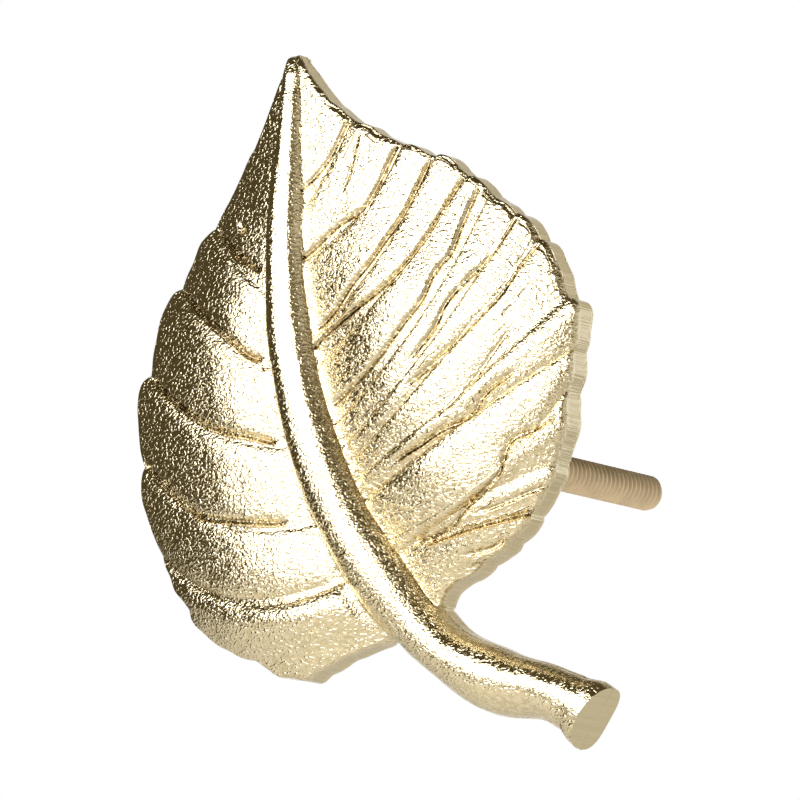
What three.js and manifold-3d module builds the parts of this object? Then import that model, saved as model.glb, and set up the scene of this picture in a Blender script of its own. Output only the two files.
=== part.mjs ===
// Leaf shaped pull for a cabinet door or drawer, in millimetres, +Z up.
// One casting is the blade, its raised midrib, the stem that the midrib runs into,
// and a round post behind the blade. A threaded stud is screwed into the post.
// The origin is on the stud's axis, in the plane where the post meets the door.
// +Y points into the door, -Y into the room, and the tip of the leaf is up.

import * as THREE from 'three';
import { mergeVertices } from 'three/addons/utils/BufferGeometryUtils.js';
import Module from 'manifold-3d';

const wasm = await Module();
wasm.setup();

// Leaf, seen from the front
const leafWidth = 66.4;   // from the left lobes to the stem's end
const leafHeight = 78.8;   // from the tip to the stem's end
const bladeThickness = 2.6;
const rimRound = 0.45;
const tipRound = 0.8;
const tipShare = 0.03;   // share of the midrib that has the tip's rounding
const lobeShoulder = 1.3;   // how far the boldest lobe stands out at its upper end
const shoulderLength = 0.16;   // share of a lobe that its shoulder takes
const veinSag = 4;   // how far the most curved vein droops below a straight line

// How far the leaf falls back towards the door, half its width or height away
const leftFall = 5.5;
const rightFall = 1.76;
const baseFall = 6.7;
const baseFallStart = -0.063;   // share of the height, from the stud, where the base starts

// Relief of the front face
const creaseDepth = 0.45;
const creaseWidth = 0.42;
const creaseFade = 0.12;   // share of its row over which a crease starts
const swellHeight = 0.8;   // of the blade below its deepest crease
const reliefFade = 4;   // mm from the midrib over which the relief builds up

// Post and stud
const postLength = 20;   // from the door to the back of the blade
const postRadius = 5;
const postFlare = 2.5;
const postEdgeBevel = 0.4;
const studRadius = 2;
const studReach = 28;   // how far the stud stands out of the post
const studGrip = 12;   // how far it is screwed into the post
const studBevel = 0.5;
const threadClearance = 0.3;

// Midrib and stem
const stemWidth = 7;
const stemHeight = 2.9;   // over the blade's front face
const stemDepth = 3.1;   // behind it
const crownBluntness = 0.62;   // 0.5 is a half ellipse, and less is squarer
const stemLevelFrom = 0.726;   // share of the midrib past which the stem is level
const stemCutAngle = 36;   // the saw cut's slope below the level, in degrees
// Corners of the stem's back, as shares of its half width and of its depth
const stemBack = [[0.97, 0.45], [0.72, 0.92], [0, 1], [-0.72, 0.92], [-0.97, 0.45]];

// Mesh fineness
const ribSteps = 48;
const crownSteps = 10;
const columnsPerHalf = 9;
const backColumnsPerHalf = 4;
const rowSpacing = 1.6;
const roundSides = 40;

// Midrib's centre line from the tip to the stem's end, seen from the front, as shares
// of the leaf's width and height from the stud's axis
const midribPoints = [
  [-0.155, 0.537], [-0.157, 0.457], [-0.163, 0.355], [-0.166, 0.26],
  [-0.151, 0.132], [-0.116, 0.018], [-0.056, -0.098], [0.033, -0.213],
  [0.142, -0.307], [0.256, -0.362], [0.349, -0.382], [0.44, -0.423],
];

// Section of the midrib at shares of its length, against the stem's width, height
// and depth
const ribSections = [
  { at: 0, wide: 0.14, high: 0.03, deep: 0.32 },
  { at: 0.026, wide: 0.31, high: 0.24, deep: 0.42 },
  { at: 0.064, wide: 0.4, high: 0.38, deep: 0.42 },
  { at: 0.212, wide: 0.67, high: 0.62, deep: 0.42 },
  { at: 0.339, wide: 0.83, high: 0.79, deep: 0.42 },
  { at: 0.53, wide: 0.93, high: 0.93, deep: 0.42 },
  { at: 0.657, wide: 1, high: 1, deep: 0.42 },
  { at: 0.731, wide: 0.89, high: 1, deep: 1 },
  { at: 0.773, wide: 0.86, high: 1, deep: 1 },
  { at: 0.847, wide: 1, high: 0.93, deep: 0.77 },
  { at: 0.943, wide: 0.86, high: 0.79, deep: 0.74 },
  { at: 1, wide: 1.09, high: 0.72, deep: 0.76 },
];

// Where each vein leaves the midrib, as a share of its length, and meets the outline, as
// shares of the leaf's width and height. sag is against veinSag, and shoulder, of the
// lobe that starts there, against lobeShoulder. A crease has its depth against
// creaseDepth, the share of its row where it starts, and the height of the swell below it
// against swellHeight.
const leftVeins = [
  { root: 0, x: -0.164, z: 0.536, sag: 0, shoulder: 0, crease: [0, 0, 0.25] },
  { root: 0.011, x: -0.173, z: 0.523, sag: 0, shoulder: 0 },
  { root: 0.106, x: -0.239, z: 0.415, sag: 0.07, shoulder: 0.19 },
  { root: 0.275, x: -0.331, z: 0.317, sag: 0.12, shoulder: 0.42, crease: [1, 0, 0.62] },
  { root: 0.36, x: -0.411, z: 0.242, sag: 0.3, shoulder: 0.92, crease: [1, 0, 0.75] },
  { root: 0.45, x: -0.492, z: 0.129, sag: 0.6, shoulder: 1, crease: [1, 0, 0.81] },
  { root: 0.546, x: -0.518, z: 0.004, sag: 0.82, shoulder: 0.54, crease: [1, 0, 0.75] },
  { root: 0.62, x: -0.486, z: -0.121, sag: 1, shoulder: 0.08, crease: [1.1, 0, 1] },
  { root: 0.657, x: -0.425, z: -0.202, sag: 0.65, shoulder: 1 },
  { root: 0.689, x: -0.276, z: -0.287, sag: 0.3, shoulder: 0.38 },
  { root: 0.708, x: -0.178, z: -0.321, sag: 0.2, shoulder: 0 },
  { root: 0.725, x: -0.068, z: -0.302, sag: 0.1, shoulder: 0 },
  { root: 0.748, x: 0.054, z: -0.287, sag: 0, shoulder: 0 },
  { root: 0.767, x: 0.117, z: -0.312, sag: 0, shoulder: 0 },
];
const rightVeins = [
  { root: 0, x: -0.146, z: 0.538, sag: 0, shoulder: 0, crease: [0, 0, 0.19] },
  { root: 0.011, x: -0.139, z: 0.529, sag: 0, shoulder: 0 },
  { root: 0.074, x: -0.092, z: 0.477, sag: 0.05, shoulder: 0 },
  { root: 0.185, x: -0.03, z: 0.43, sag: 0.1, shoulder: 0.15, crease: [0.9, 0, 0.25] },
  { root: 0.244, x: 0.071, z: 0.382, sag: 0.45, shoulder: 0.31, crease: [1, 0, 0.31] },
  { root: 0.344, x: 0.134, z: 0.357, sag: 0.33, shoulder: 0.46, crease: [1, 0.12, 0.31] },
  { root: 0.376, x: 0.197, z: 0.324, sag: 0.25, shoulder: 0.31, crease: [1, 0, 0.31] },
  { root: 0.456, x: 0.238, z: 0.294, sag: 0.4, shoulder: 0.15, crease: [0.9, 0.1, 0.37] },
  { root: 0.487, x: 0.285, z: 0.263, sag: 0.33, shoulder: 0.38, crease: [0.8, 0.4, 0.37] },
  { root: 0.511, x: 0.327, z: 0.222, sag: 0.12, shoulder: 0.54, crease: [0.9, 0.35, 0.44] },
  { root: 0.534, x: 0.38, z: 0.138, sag: 0.1, shoulder: 0.88, crease: [0.5, 0.4, 0.5] },
  { root: 0.561, x: 0.393, z: 0.067, sag: -0.12, shoulder: 0.15, crease: [1, 0.15, 0.75] },
  { root: 0.623, x: 0.386, z: 0.011, sag: 0.5, shoulder: 0.31, crease: [1, 0.1, 0.62] },
  { root: 0.65, x: 0.361, z: -0.084, sag: -0.38, shoulder: 0.31, crease: [0.8, 0.3, 0.44] },
  { root: 0.669, x: 0.321, z: -0.147, sag: 0, shoulder: 0.31 },
  { root: 0.684, x: 0.279, z: -0.178, sag: 0, shoulder: 0.23 },
  { root: 0.697, x: 0.229, z: -0.203, sag: 0, shoulder: 0.15 },
  { root: 0.71, x: 0.182, z: -0.226, sag: 0, shoulder: 0 },
  { root: 0.72, x: 0.157, z: -0.236, sag: 0, shoulder: 0 },
  { root: 0.731, x: 0.143, z: -0.253, sag: 0, shoulder: 0 },
  { root: 0.748, x: 0.14, z: -0.273, sag: 0, shoulder: 0 },
  { root: 0.767, x: 0.16, z: -0.294, sag: 0, shoulder: 0 },
];

const crownY = -(postLength + bladeThickness);

// Point in the drawing of the leaf, from shares of its width and height
function leafPoint(x, z) {
  return new THREE.Vector3(x * leafWidth, 0, z * leafHeight);
}

const midrib = new THREE.CatmullRomCurve3(
  midribPoints.map(([x, z]) => leafPoint(x, z)), false, 'centripetal');
midrib.arcLengthDivisions = 400;
const midribLength = midrib.getLength();

// Point on the midrib's centre line at a distance from the tip
function midribAt(distance) {
  return midrib.getPointAt(Math.min(distance / midribLength, 1));
}

// Direction of the midrib, towards the stem, at a distance from the tip
function midribHeading(distance) {
  return midrib.getTangentAt(Math.min(distance / midribLength, 1));
}

// The midrib falls all the way, so each height has one x on it
const midribSamples = midrib.getSpacedPoints(200);
function midribX(z) {
  let i = 1;
  while (i < midribSamples.length - 1 && midribSamples[i].z > z) i += 1;
  const above = midribSamples[i - 1];
  const below = midribSamples[i];
  const share = THREE.MathUtils.clamp((above.z - z) / (above.z - below.z), 0, 1);
  return THREE.MathUtils.lerp(above.x, below.x, share);
}

// How far the leaf has fallen back towards the door at a place
function fallBack(x, z) {
  const aside = 2 * (x - midribX(z)) / leafWidth;
  const sideFall = aside < 0 ? leftFall : rightFall;
  const below = Math.max(0, 2 * (baseFallStart - z / leafHeight));
  return sideFall * aside * aside + baseFall * below * below;
}

function ribSection(distance) {
  const along = distance / midribLength;
  let i = 1;
  while (i < ribSections.length - 1 && ribSections[i].at < along) i += 1;
  const a = ribSections[i - 1];
  const b = ribSections[i];
  const share = THREE.MathUtils.smoothstep(along, a.at, b.at);
  return {
    half: stemWidth / 2 * THREE.MathUtils.lerp(a.wide, b.wide, share),
    high: stemHeight * THREE.MathUtils.lerp(a.high, b.high, share),
    deep: stemDepth * THREE.MathUtils.lerp(a.deep, b.deep, share),
  };
}

// The two neighbours in a list of veins that a row lies between, and how far down
function between(veins, distance) {
  let i = 1;
  while (i < veins.length - 1 && veins[i].root < distance) i += 1;
  const upper = veins[i - 1];
  const lower = veins[i];
  const share = (distance - upper.root) / (lower.root - upper.root);
  return { index: i - 1, upper, lower, share };
}

// A swell that is steep at its upper end and fades to the next vein
function swell(share) {
  return (1 - Math.exp(-share / (shoulderLength / 2))) * (1 - share * share);
}

// One half of the blade: its veins, its outline and what lies between them
class BladeHalf {
  constructor(drawnVeins, side) {
    this.veins = drawnVeins.map(vein => ({ ...vein, root: vein.root * midribLength }));
    this.side = side;
    this.outline = new THREE.CatmullRomCurve3(
      drawnVeins.map(({ x, z }) => leafPoint(x, z)), false, 'centripetal');
    const creased = this.veins.filter(vein => vein.crease);
    this.beds = [...creased, this.veins.at(-1)];
    this.creases = creased.map(({ root, crease: [depth, start] }) => (
      { depth, start, line: this.row(root).getPoints(24) }));
  }

  rimPoint(distance) {
    const { index, upper, share } = between(this.veins, distance);
    const at = (index + share) / (this.veins.length - 1);
    const point = this.outline.getPoint(at);
    const heading = this.outline.getTangent(at);
    const outward = new THREE.Vector3(-heading.z, 0, heading.x).multiplyScalar(this.side);
    return point.addScaledVector(outward, lobeShoulder * upper.shoulder * swell(share));
  }

  // The row from the midrib to the rim, as a curve that droops by its sag
  row(distance) {
    const { upper, lower, share } = between(this.veins, distance);
    const from = midribAt(distance);
    const to = this.rimPoint(distance);
    const sag = veinSag * THREE.MathUtils.lerp(upper.sag, lower.sag, share);
    const chord = to.clone().sub(from);
    const down = new THREE.Vector3(chord.z * this.side, 0, -chord.x * this.side).normalize();
    const control = from.clone().add(to).multiplyScalar(0.5).addScaledVector(down, 2 * sag);
    return new THREE.QuadraticBezierCurve3(from, control, to);
  }

  creaseAt(point, along) {
    let deepest = 0;
    for (const { depth, start, line } of this.creases) {
      const begun = THREE.MathUtils.smoothstep(along, start, start + creaseFade);
      const away = distanceToLine(point, line);
      const cut = begun * depth * creaseDepth * Math.exp(-((away / creaseWidth) ** 2));
      deepest = Math.max(deepest, cut);
    }
    return deepest;
  }

  // How far the front face stands proud at a share of a row
  relief(distance, point, along) {
    const { upper, share } = between(this.beds, distance);
    const aside = point.distanceTo(midribAt(distance));
    const built = THREE.MathUtils.smoothstep(aside, 0, reliefFade);
    const height = swellHeight * upper.crease[2] * swell(share);
    return built * (height - this.creaseAt(point, along));
  }
}

function distanceToLine(point, line) {
  const segment = new THREE.Line3();
  const nearest = new THREE.Vector3();
  let least = Infinity;
  for (let i = 1; i < line.length; i += 1) {
    segment.set(line[i - 1], line[i]);
    segment.closestPointToPoint(point, true, nearest);
    least = Math.min(least, nearest.distanceTo(point));
  }
  return least;
}

// Rows on every vein and beside it, and filled in where they are far apart
function rowDistances(halves) {
  const veins = halves.flatMap(half => half.veins);
  const last = Math.max(...veins.map(vein => vein.root));
  const wanted = veins.map(vein => vein.root);
  for (const half of halves) {
    half.veins.forEach((vein, i) => {
      if (i === 0) return;
      const gap = vein.root - half.veins[i - 1].root;
      wanted.push(vein.root - gap * shoulderLength / 2);
      wanted.push(half.veins[i - 1].root + gap * shoulderLength / 2);
      wanted.push(half.veins[i - 1].root + gap * shoulderLength * 1.5);
    });
  }
  wanted.sort((a, b) => a - b);
  const rows = [0];
  const closest = rowSpacing / 5;
  for (const distance of wanted) {
    const gap = distance - rows.at(-1);
    const fills = Math.floor(gap / rowSpacing);
    for (let i = 1; i <= fills; i += 1) rows.push(rows.at(-1) + gap / (fills + 1));
    if (distance - rows.at(-1) > closest) rows.push(distance);
  }
  rows[rows.length - 1] = last;
  return rows;
}

// Shares of a row's length from midrib to rim, with the last ones in the rounded edge
function columnShares(length, count, round) {
  const edge = Math.min(round, length / 4) / length;
  const shares = [];
  for (let i = 0; i <= count; i += 1) shares.push((1 - edge) * i / count);
  if (round > 0) shares.push(1 - edge * 0.3);
  if (round > 0) shares.push(1);
  return shares;
}

// Turns rings or grids of points into one indexed geometry
class MeshSheet {
  constructor() {
    this.positions = [];
    this.indices = [];
  }

  addPoint(point) {
    this.positions.push(point.x, point.y, point.z);
    return this.positions.length / 3 - 1;
  }

  addQuad(a, b, c, d) {
    this.indices.push(a, b, c, a, c, d);
  }

  // Skin between lines of point numbers, all of one length
  addSkin(lines, closed) {
    for (let i = 1; i < lines.length; i += 1) {
      const upper = lines[i - 1];
      const lower = lines[i];
      const steps = closed ? upper.length : upper.length - 1;
      for (let j = 0; j < steps; j += 1) {
        const next = (j + 1) % upper.length;
        this.addQuad(upper[j], lower[j], lower[next], upper[next]);
      }
    }
  }

  // Closes a skin's first or last line, once it is a ring
  addCap(ring, first) {
    for (let i = 1; i < ring.length - 1; i += 1) {
      if (first) this.indices.push(ring[0], ring[i], ring[i + 1]);
      else this.indices.push(ring[0], ring[i + 1], ring[i]);
    }
  }

  geometry() {
    const geometry = new THREE.BufferGeometry();
    geometry.setAttribute('position', new THREE.Float32BufferAttribute(this.positions, 3));
    geometry.setIndex(this.indices);
    return geometry;
  }
}

// The blade as rings, one for each row, each round the front, the rim and the back
function bladeGeometry() {
  const left = new BladeHalf(leftVeins, -1);
  const right = new BladeHalf(rightVeins, 1);
  const sheet = new MeshSheet();
  const rings = rowDistances([left, right]).map(distance => {
    const front = [
      ...frontLine(left, distance).reverse(),
      ...frontLine(right, distance).slice(1),
    ];
    const back = [
      ...backLine(right, distance).reverse(),
      ...backLine(left, distance).slice(1),
    ];
    return [...front, ...back].map(point => sheet.addPoint(point));
  });
  sheet.addSkin(rings, true);
  sheet.addCap(rings[0], true);
  sheet.addCap(rings.at(-1), false);
  return sheet.geometry();
}

function frontLine(half, distance) {
  const row = half.row(distance);
  const length = row.getLength();
  const round = distance < midribLength * tipShare ? tipRound : rimRound;
  return columnShares(length, columnsPerHalf, round).map(share => {
    const point = row.getPoint(share);
    const inset = Math.min((1 - share) * length, round);
    const rounded = round - Math.sqrt(round * round - (round - inset) ** 2);
    const proud = half.relief(distance, point, share) - rounded;
    point.y = crownY + fallBack(point.x, point.z) - proud;
    return point;
  });
}

function backLine(half, distance) {
  const row = half.row(distance);
  return columnShares(row.getLength(), backColumnsPerHalf, 0).map(share => {
    const point = row.getPoint(share);
    point.y = crownY + bladeThickness + fallBack(point.x, point.z);
    return point;
  });
}

// Height of the midrib's crown at a share of its half width
function crownHeight(share, high) {
  return high * (1 - share * share) ** crownBluntness;
}

// Midrib and stem as one loft, cut off square to the front at its lower end
function midribGeometry() {
  const sheet = new MeshSheet();
  const cut = THREE.MathUtils.degToRad(stemCutAngle);
  const cutNormal = new THREE.Vector3(Math.cos(cut), 0, -Math.sin(cut));
  const rings = [];
  for (let i = 0; i <= ribSteps; i += 1) {
    const distance = midribLength * i / ribSteps;
    const centre = midribAt(distance);
    const heading = midribHeading(distance);
    const across = new THREE.Vector3(-heading.z, 0, heading.x);
    if (i === ribSteps) across.set(cutNormal.z, 0, -cutNormal.x).multiplyScalar(-1);
    const { half, high, deep } = ribSection(distance);
    const level = crownY + stemLevel(distance);
    const ring = [];
    for (let j = 0; j <= crownSteps; j += 1) {
      const share = 2 * j / crownSteps - 1;
      const bent = Math.sin(share * Math.PI / 2);
      const point = centre.clone().addScaledVector(across, bent * half);
      point.y = level - crownHeight(bent, high);
      ring.push(point);
    }
    for (const [aside, down] of stemBack) {
      const point = centre.clone().addScaledVector(across, aside * half);
      point.y = level + down * deep;
      ring.push(point);
    }
    rings.push(ring.map(point => sheet.addPoint(point)));
  }
  sheet.addSkin(rings, true);
  sheet.addCap(rings[0], true);
  sheet.addCap(rings.at(-1), false);
  return sheet.geometry();
}

// The midrib follows the blade, and the free stem stays level beyond it
function stemLevel(distance) {
  const point = midribAt(Math.min(distance, stemLevelFrom * midribLength));
  return fallBack(point.x, point.z);
}

// A turned shape, round the Y axis, from pairs of radius and place along Y
function turned(profile) {
  const points = profile.map(([radius, along]) => new THREE.Vector2(radius, along));
  return new THREE.LatheGeometry(points, roundSides);
}

function postGeometry() {
  const back = -postLength;
  const root = back - bladeThickness / 2;
  const profile = [
    [0, root],
    [postRadius + postFlare, root],
    [postRadius + postFlare, back],
  ];
  const flareSteps = 6;
  for (let i = 1; i <= flareSteps; i += 1) {
    const turn = (i / flareSteps) * Math.PI / 2;
    const radius = postRadius + postFlare * (1 - Math.sin(turn));
    profile.push([radius, back + postFlare * (1 - Math.cos(turn))]);
  }
  profile.push([postRadius, -postEdgeBevel]);
  profile.push([postRadius - postEdgeBevel, 0]);
  profile.push([0, 0]);
  return turned(profile);
}

function studHoleGeometry() {
  const radius = studRadius + threadClearance;
  const bottom = -(studGrip + threadClearance);
  return turned([[0, bottom - radius / 2], [radius, bottom], [radius, radius], [0, radius]]);
}

function studGeometry() {
  return turned([
    [0, -studGrip],
    [studRadius - studBevel, -studGrip],
    [studRadius, -studGrip + studBevel],
    [studRadius, studReach - studBevel],
    [studRadius - studBevel, studReach],
    [0, studReach],
  ]);
}

// Joins a geometry's points and leaves out the faces that close up on the axis
function welded(geometry) {
  geometry.deleteAttribute('normal');
  geometry.deleteAttribute('uv');
  const merged = mergeVertices(geometry, 1e-4);
  const faces = [];
  const corners = merged.index.array;
  for (let i = 0; i < corners.length; i += 3) {
    const [a, b, c] = corners.slice(i, i + 3);
    if (a !== b && b !== c && c !== a) faces.push(a, b, c);
  }
  merged.setIndex(faces);
  merged.computeVertexNormals();
  return merged;
}

function toSolid(geometry) {
  const merged = welded(geometry);
  const mesh = new wasm.Mesh({
    numProp: 3,
    vertProperties: Float32Array.from(merged.attributes.position.array),
    triVerts: Uint32Array.from(merged.index.array),
  });
  return new wasm.Manifold(mesh);
}

function toGeometry(solid) {
  const mesh = solid.getMesh();
  const geometry = new THREE.BufferGeometry();
  geometry.setAttribute('position', new THREE.BufferAttribute(mesh.vertProperties, 3));
  geometry.setIndex(new THREE.BufferAttribute(mesh.triVerts, 1));
  geometry.computeVertexNormals();
  return geometry;
}

function leafGeometry() {
  const cast = toSolid(bladeGeometry())
    .add(toSolid(midribGeometry()))
    .add(toSolid(postGeometry()));
  return toGeometry(cast.subtract(toSolid(studHoleGeometry())));
}

const castGold = new THREE.MeshStandardMaterial({
  color: 0xd9c48c, roughness: 0.32, metalness: 1,
});
const platedSteel = new THREE.MeshStandardMaterial({
  color: 0xb5a07a, roughness: 0.45, metalness: 1,
});

const leaf = new THREE.Mesh(leafGeometry(), castGold);
leaf.name = 'leaf_casting';
const stud = new THREE.Mesh(studGeometry(), platedSteel);
stud.name = 'threaded_stud';

const pull = new THREE.Group();
pull.add(leaf, stud);

export default pull;
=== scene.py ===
"""Dresses the leaf shaped cabinet pull and sets it in a plain pale studio.

Lengths are in millimetres until a mesh is made, which is in metres. The origin is on the
stud's axis, in the plane where the post meets the door. +Y points into the door, -Y into
the room, and the tip of the leaf is up.
"""

import logging
import math
from collections.abc import Callable
from dataclasses import dataclass, field
from enum import Enum

import bmesh
import bpy
import numpy as np
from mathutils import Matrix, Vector, noise

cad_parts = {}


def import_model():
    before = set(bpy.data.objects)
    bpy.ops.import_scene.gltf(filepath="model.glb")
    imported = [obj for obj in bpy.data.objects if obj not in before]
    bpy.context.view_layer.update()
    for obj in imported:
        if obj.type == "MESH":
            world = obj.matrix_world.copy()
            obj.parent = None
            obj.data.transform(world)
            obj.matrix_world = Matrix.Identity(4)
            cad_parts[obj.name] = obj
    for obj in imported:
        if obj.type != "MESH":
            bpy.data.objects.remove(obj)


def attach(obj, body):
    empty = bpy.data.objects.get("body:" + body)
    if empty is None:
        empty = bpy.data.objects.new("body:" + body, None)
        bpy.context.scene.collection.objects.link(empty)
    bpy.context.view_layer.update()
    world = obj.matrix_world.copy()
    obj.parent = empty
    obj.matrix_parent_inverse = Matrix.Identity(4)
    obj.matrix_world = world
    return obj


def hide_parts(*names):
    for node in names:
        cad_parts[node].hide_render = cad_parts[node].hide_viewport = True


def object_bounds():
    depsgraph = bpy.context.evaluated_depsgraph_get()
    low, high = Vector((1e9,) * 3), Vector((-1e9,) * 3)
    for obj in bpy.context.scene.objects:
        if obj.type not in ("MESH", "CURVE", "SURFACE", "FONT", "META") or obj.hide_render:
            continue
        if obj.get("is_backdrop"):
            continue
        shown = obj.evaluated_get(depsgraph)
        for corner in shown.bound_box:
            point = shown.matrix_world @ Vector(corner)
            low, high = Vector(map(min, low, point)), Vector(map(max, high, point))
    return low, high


Array = np.ndarray
Piece = bpy.types.Object
Colour = tuple[float, float, float]
Span = tuple[float, float]

MM = 0.001
POLE_WELD = 2e-6
SEAM_WELD = 1.5e-6
WHITE = (1.0, 1.0, 1.0)
LOG = logging.getLogger("leaf_pull")


class Side(Enum):
    """The two halves of the blade, as seen from the front."""

    LEFT = -1
    RIGHT = 1


def smooth(value: Array, low: float, high: float) -> Array:
    """Ease from 0 at low to 1 at high."""
    share = np.clip((np.asarray(value, float) - low) / (high - low), 0.0, 1.0)
    return share * share * (3.0 - 2.0 * share)


def soft_least(first: Array, second: Array, reach: float) -> Array:
    """Lesser of two values, with the corner between them rounded over a reach."""
    overlap = np.clip(reach - np.abs(first - second), 0.0, None)
    return np.minimum(first, second) - overlap * overlap / (4.0 * reach)


def soft_most(first: Array, second: Array, reach: float) -> Array:
    """Greater of two values, with the corner between them rounded over a reach."""
    return -soft_least(-first, -second, reach)


def unevenness(points: Array, size: float, seed: float) -> Array:
    """Smooth random field over points in a plane.

    Args:
        points: Places in millimetres, with two values on the last axis.
        size: Distance in millimetres over which the field changes.
        seed: Third coordinate in the field, another one for each use.

    Returns:
        Values of about -1 to 1, one for each point.
    """
    flat = points.reshape(-1, 2) / size
    values = [noise.noise(Vector((x, z, seed))) for x, z in flat]
    return np.array(values).reshape(points.shape[:-1])


def from_rim(plan: Array) -> Array:
    """Distance of each point of the rows from its row's end."""
    return np.linalg.norm(plan - plan[:, -1:], axis=2)


@dataclass
class SmoothCurve:
    """Centripetal curve through points of the leaf's drawing.

    Args:
        points: Corner points in millimetres, x and z.
        fineness: How many places are worked out along it.
        reach: Distance in millimetres over which its direction is taken.
        share_reach: The same as a share of its corner points.
    """

    points: Array
    fineness: int = 6000
    reach: float = 0.05
    share_reach: float = 0.002
    places: Array = field(init=False)
    travelled: Array = field(init=False)
    shares: Array = field(init=False)

    def __post_init__(self) -> None:
        """Work out places and the distance along the curve."""
        corners = np.asarray(self.points, float)
        ends = [2 * corners[0] - corners[1]], corners, [2 * corners[-1] - corners[-2]]
        run = np.vstack(ends)
        self.shares = np.linspace(0, 1, self.fineness)
        steps = self.shares * (len(corners) - 1)
        index = np.minimum(steps.astype(int), len(corners) - 2)
        share = (steps - index)[:, None]
        before, start, end, after = (run[index + k] for k in range(4))
        gap_in, gap, gap_out = (
            np.sqrt(np.linalg.norm(far - near, axis=1))[:, None]
            for near, far in ((before, start), (start, end), (end, after))
        )
        leave = (start - before) / gap_in - (end - before) / (gap_in + gap)
        leave = (leave + (end - start) / gap) * gap
        arrive = (end - start) / gap - (after - start) / (gap + gap_out)
        arrive = (arrive + (after - end) / gap_out) * gap
        square = -3 * start + 3 * end - 2 * leave - arrive
        cube = 2 * start - 2 * end + leave + arrive
        self.places = start + leave * share + square * share**2 + cube * share**3
        strides = np.linalg.norm(np.diff(self.places, axis=0), axis=1)
        self.travelled = np.concatenate([[0.0], np.cumsum(strides)])

    @property
    def length(self) -> float:
        """Length of the curve in millimetres."""
        return float(self.travelled[-1])

    def at(self, where: Array, by_share: bool = False) -> Array:
        """Places at distances along the curve, or at shares of its corner points."""
        stops = self.shares if by_share else self.travelled
        return np.stack([np.interp(where, stops, run) for run in self.places.T], axis=-1)

    def heading(self, where: Array, by_share: bool = False) -> Array:
        """Directions of the curve.

        Args:
            where: Distances along the curve, or shares of its corner points.
            by_share: Whether they are shares.

        Returns:
            Directions of length 1.
        """
        end, reach = (1.0, self.share_reach) if by_share else (self.length, self.reach)
        low = np.clip(np.asarray(where, float) - reach, 0, end)
        high = np.clip(np.asarray(where, float) + reach, 0, end)
        heading = self.at(high, by_share) - self.at(low, by_share)
        return heading / np.linalg.norm(heading, axis=-1, keepdims=True)


@dataclass(frozen=True)
class LeafDrawing:
    """Sizes of the whole leaf, as in the solids that it stands for."""

    width: float = 66.4
    height: float = 78.8
    thickness: float = 2.6
    crown_y: float = -22.6
    left_fall: float = 5.5
    right_fall: float = 1.76
    base_fall: float = 6.7
    base_start: float = -0.063

    def point(self, x: float, z: float) -> tuple[float, float]:
        """Place in millimetres from shares of the leaf's width and height."""
        return x * self.width, z * self.height

    def base_drop(self, z: Array) -> Array:
        """How far the leaf's base falls back at heights in millimetres."""
        below = np.clip(2 * (self.base_start - z / self.height), 0, None)
        return self.base_fall * below**2


DRAWING = LeafDrawing()


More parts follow.
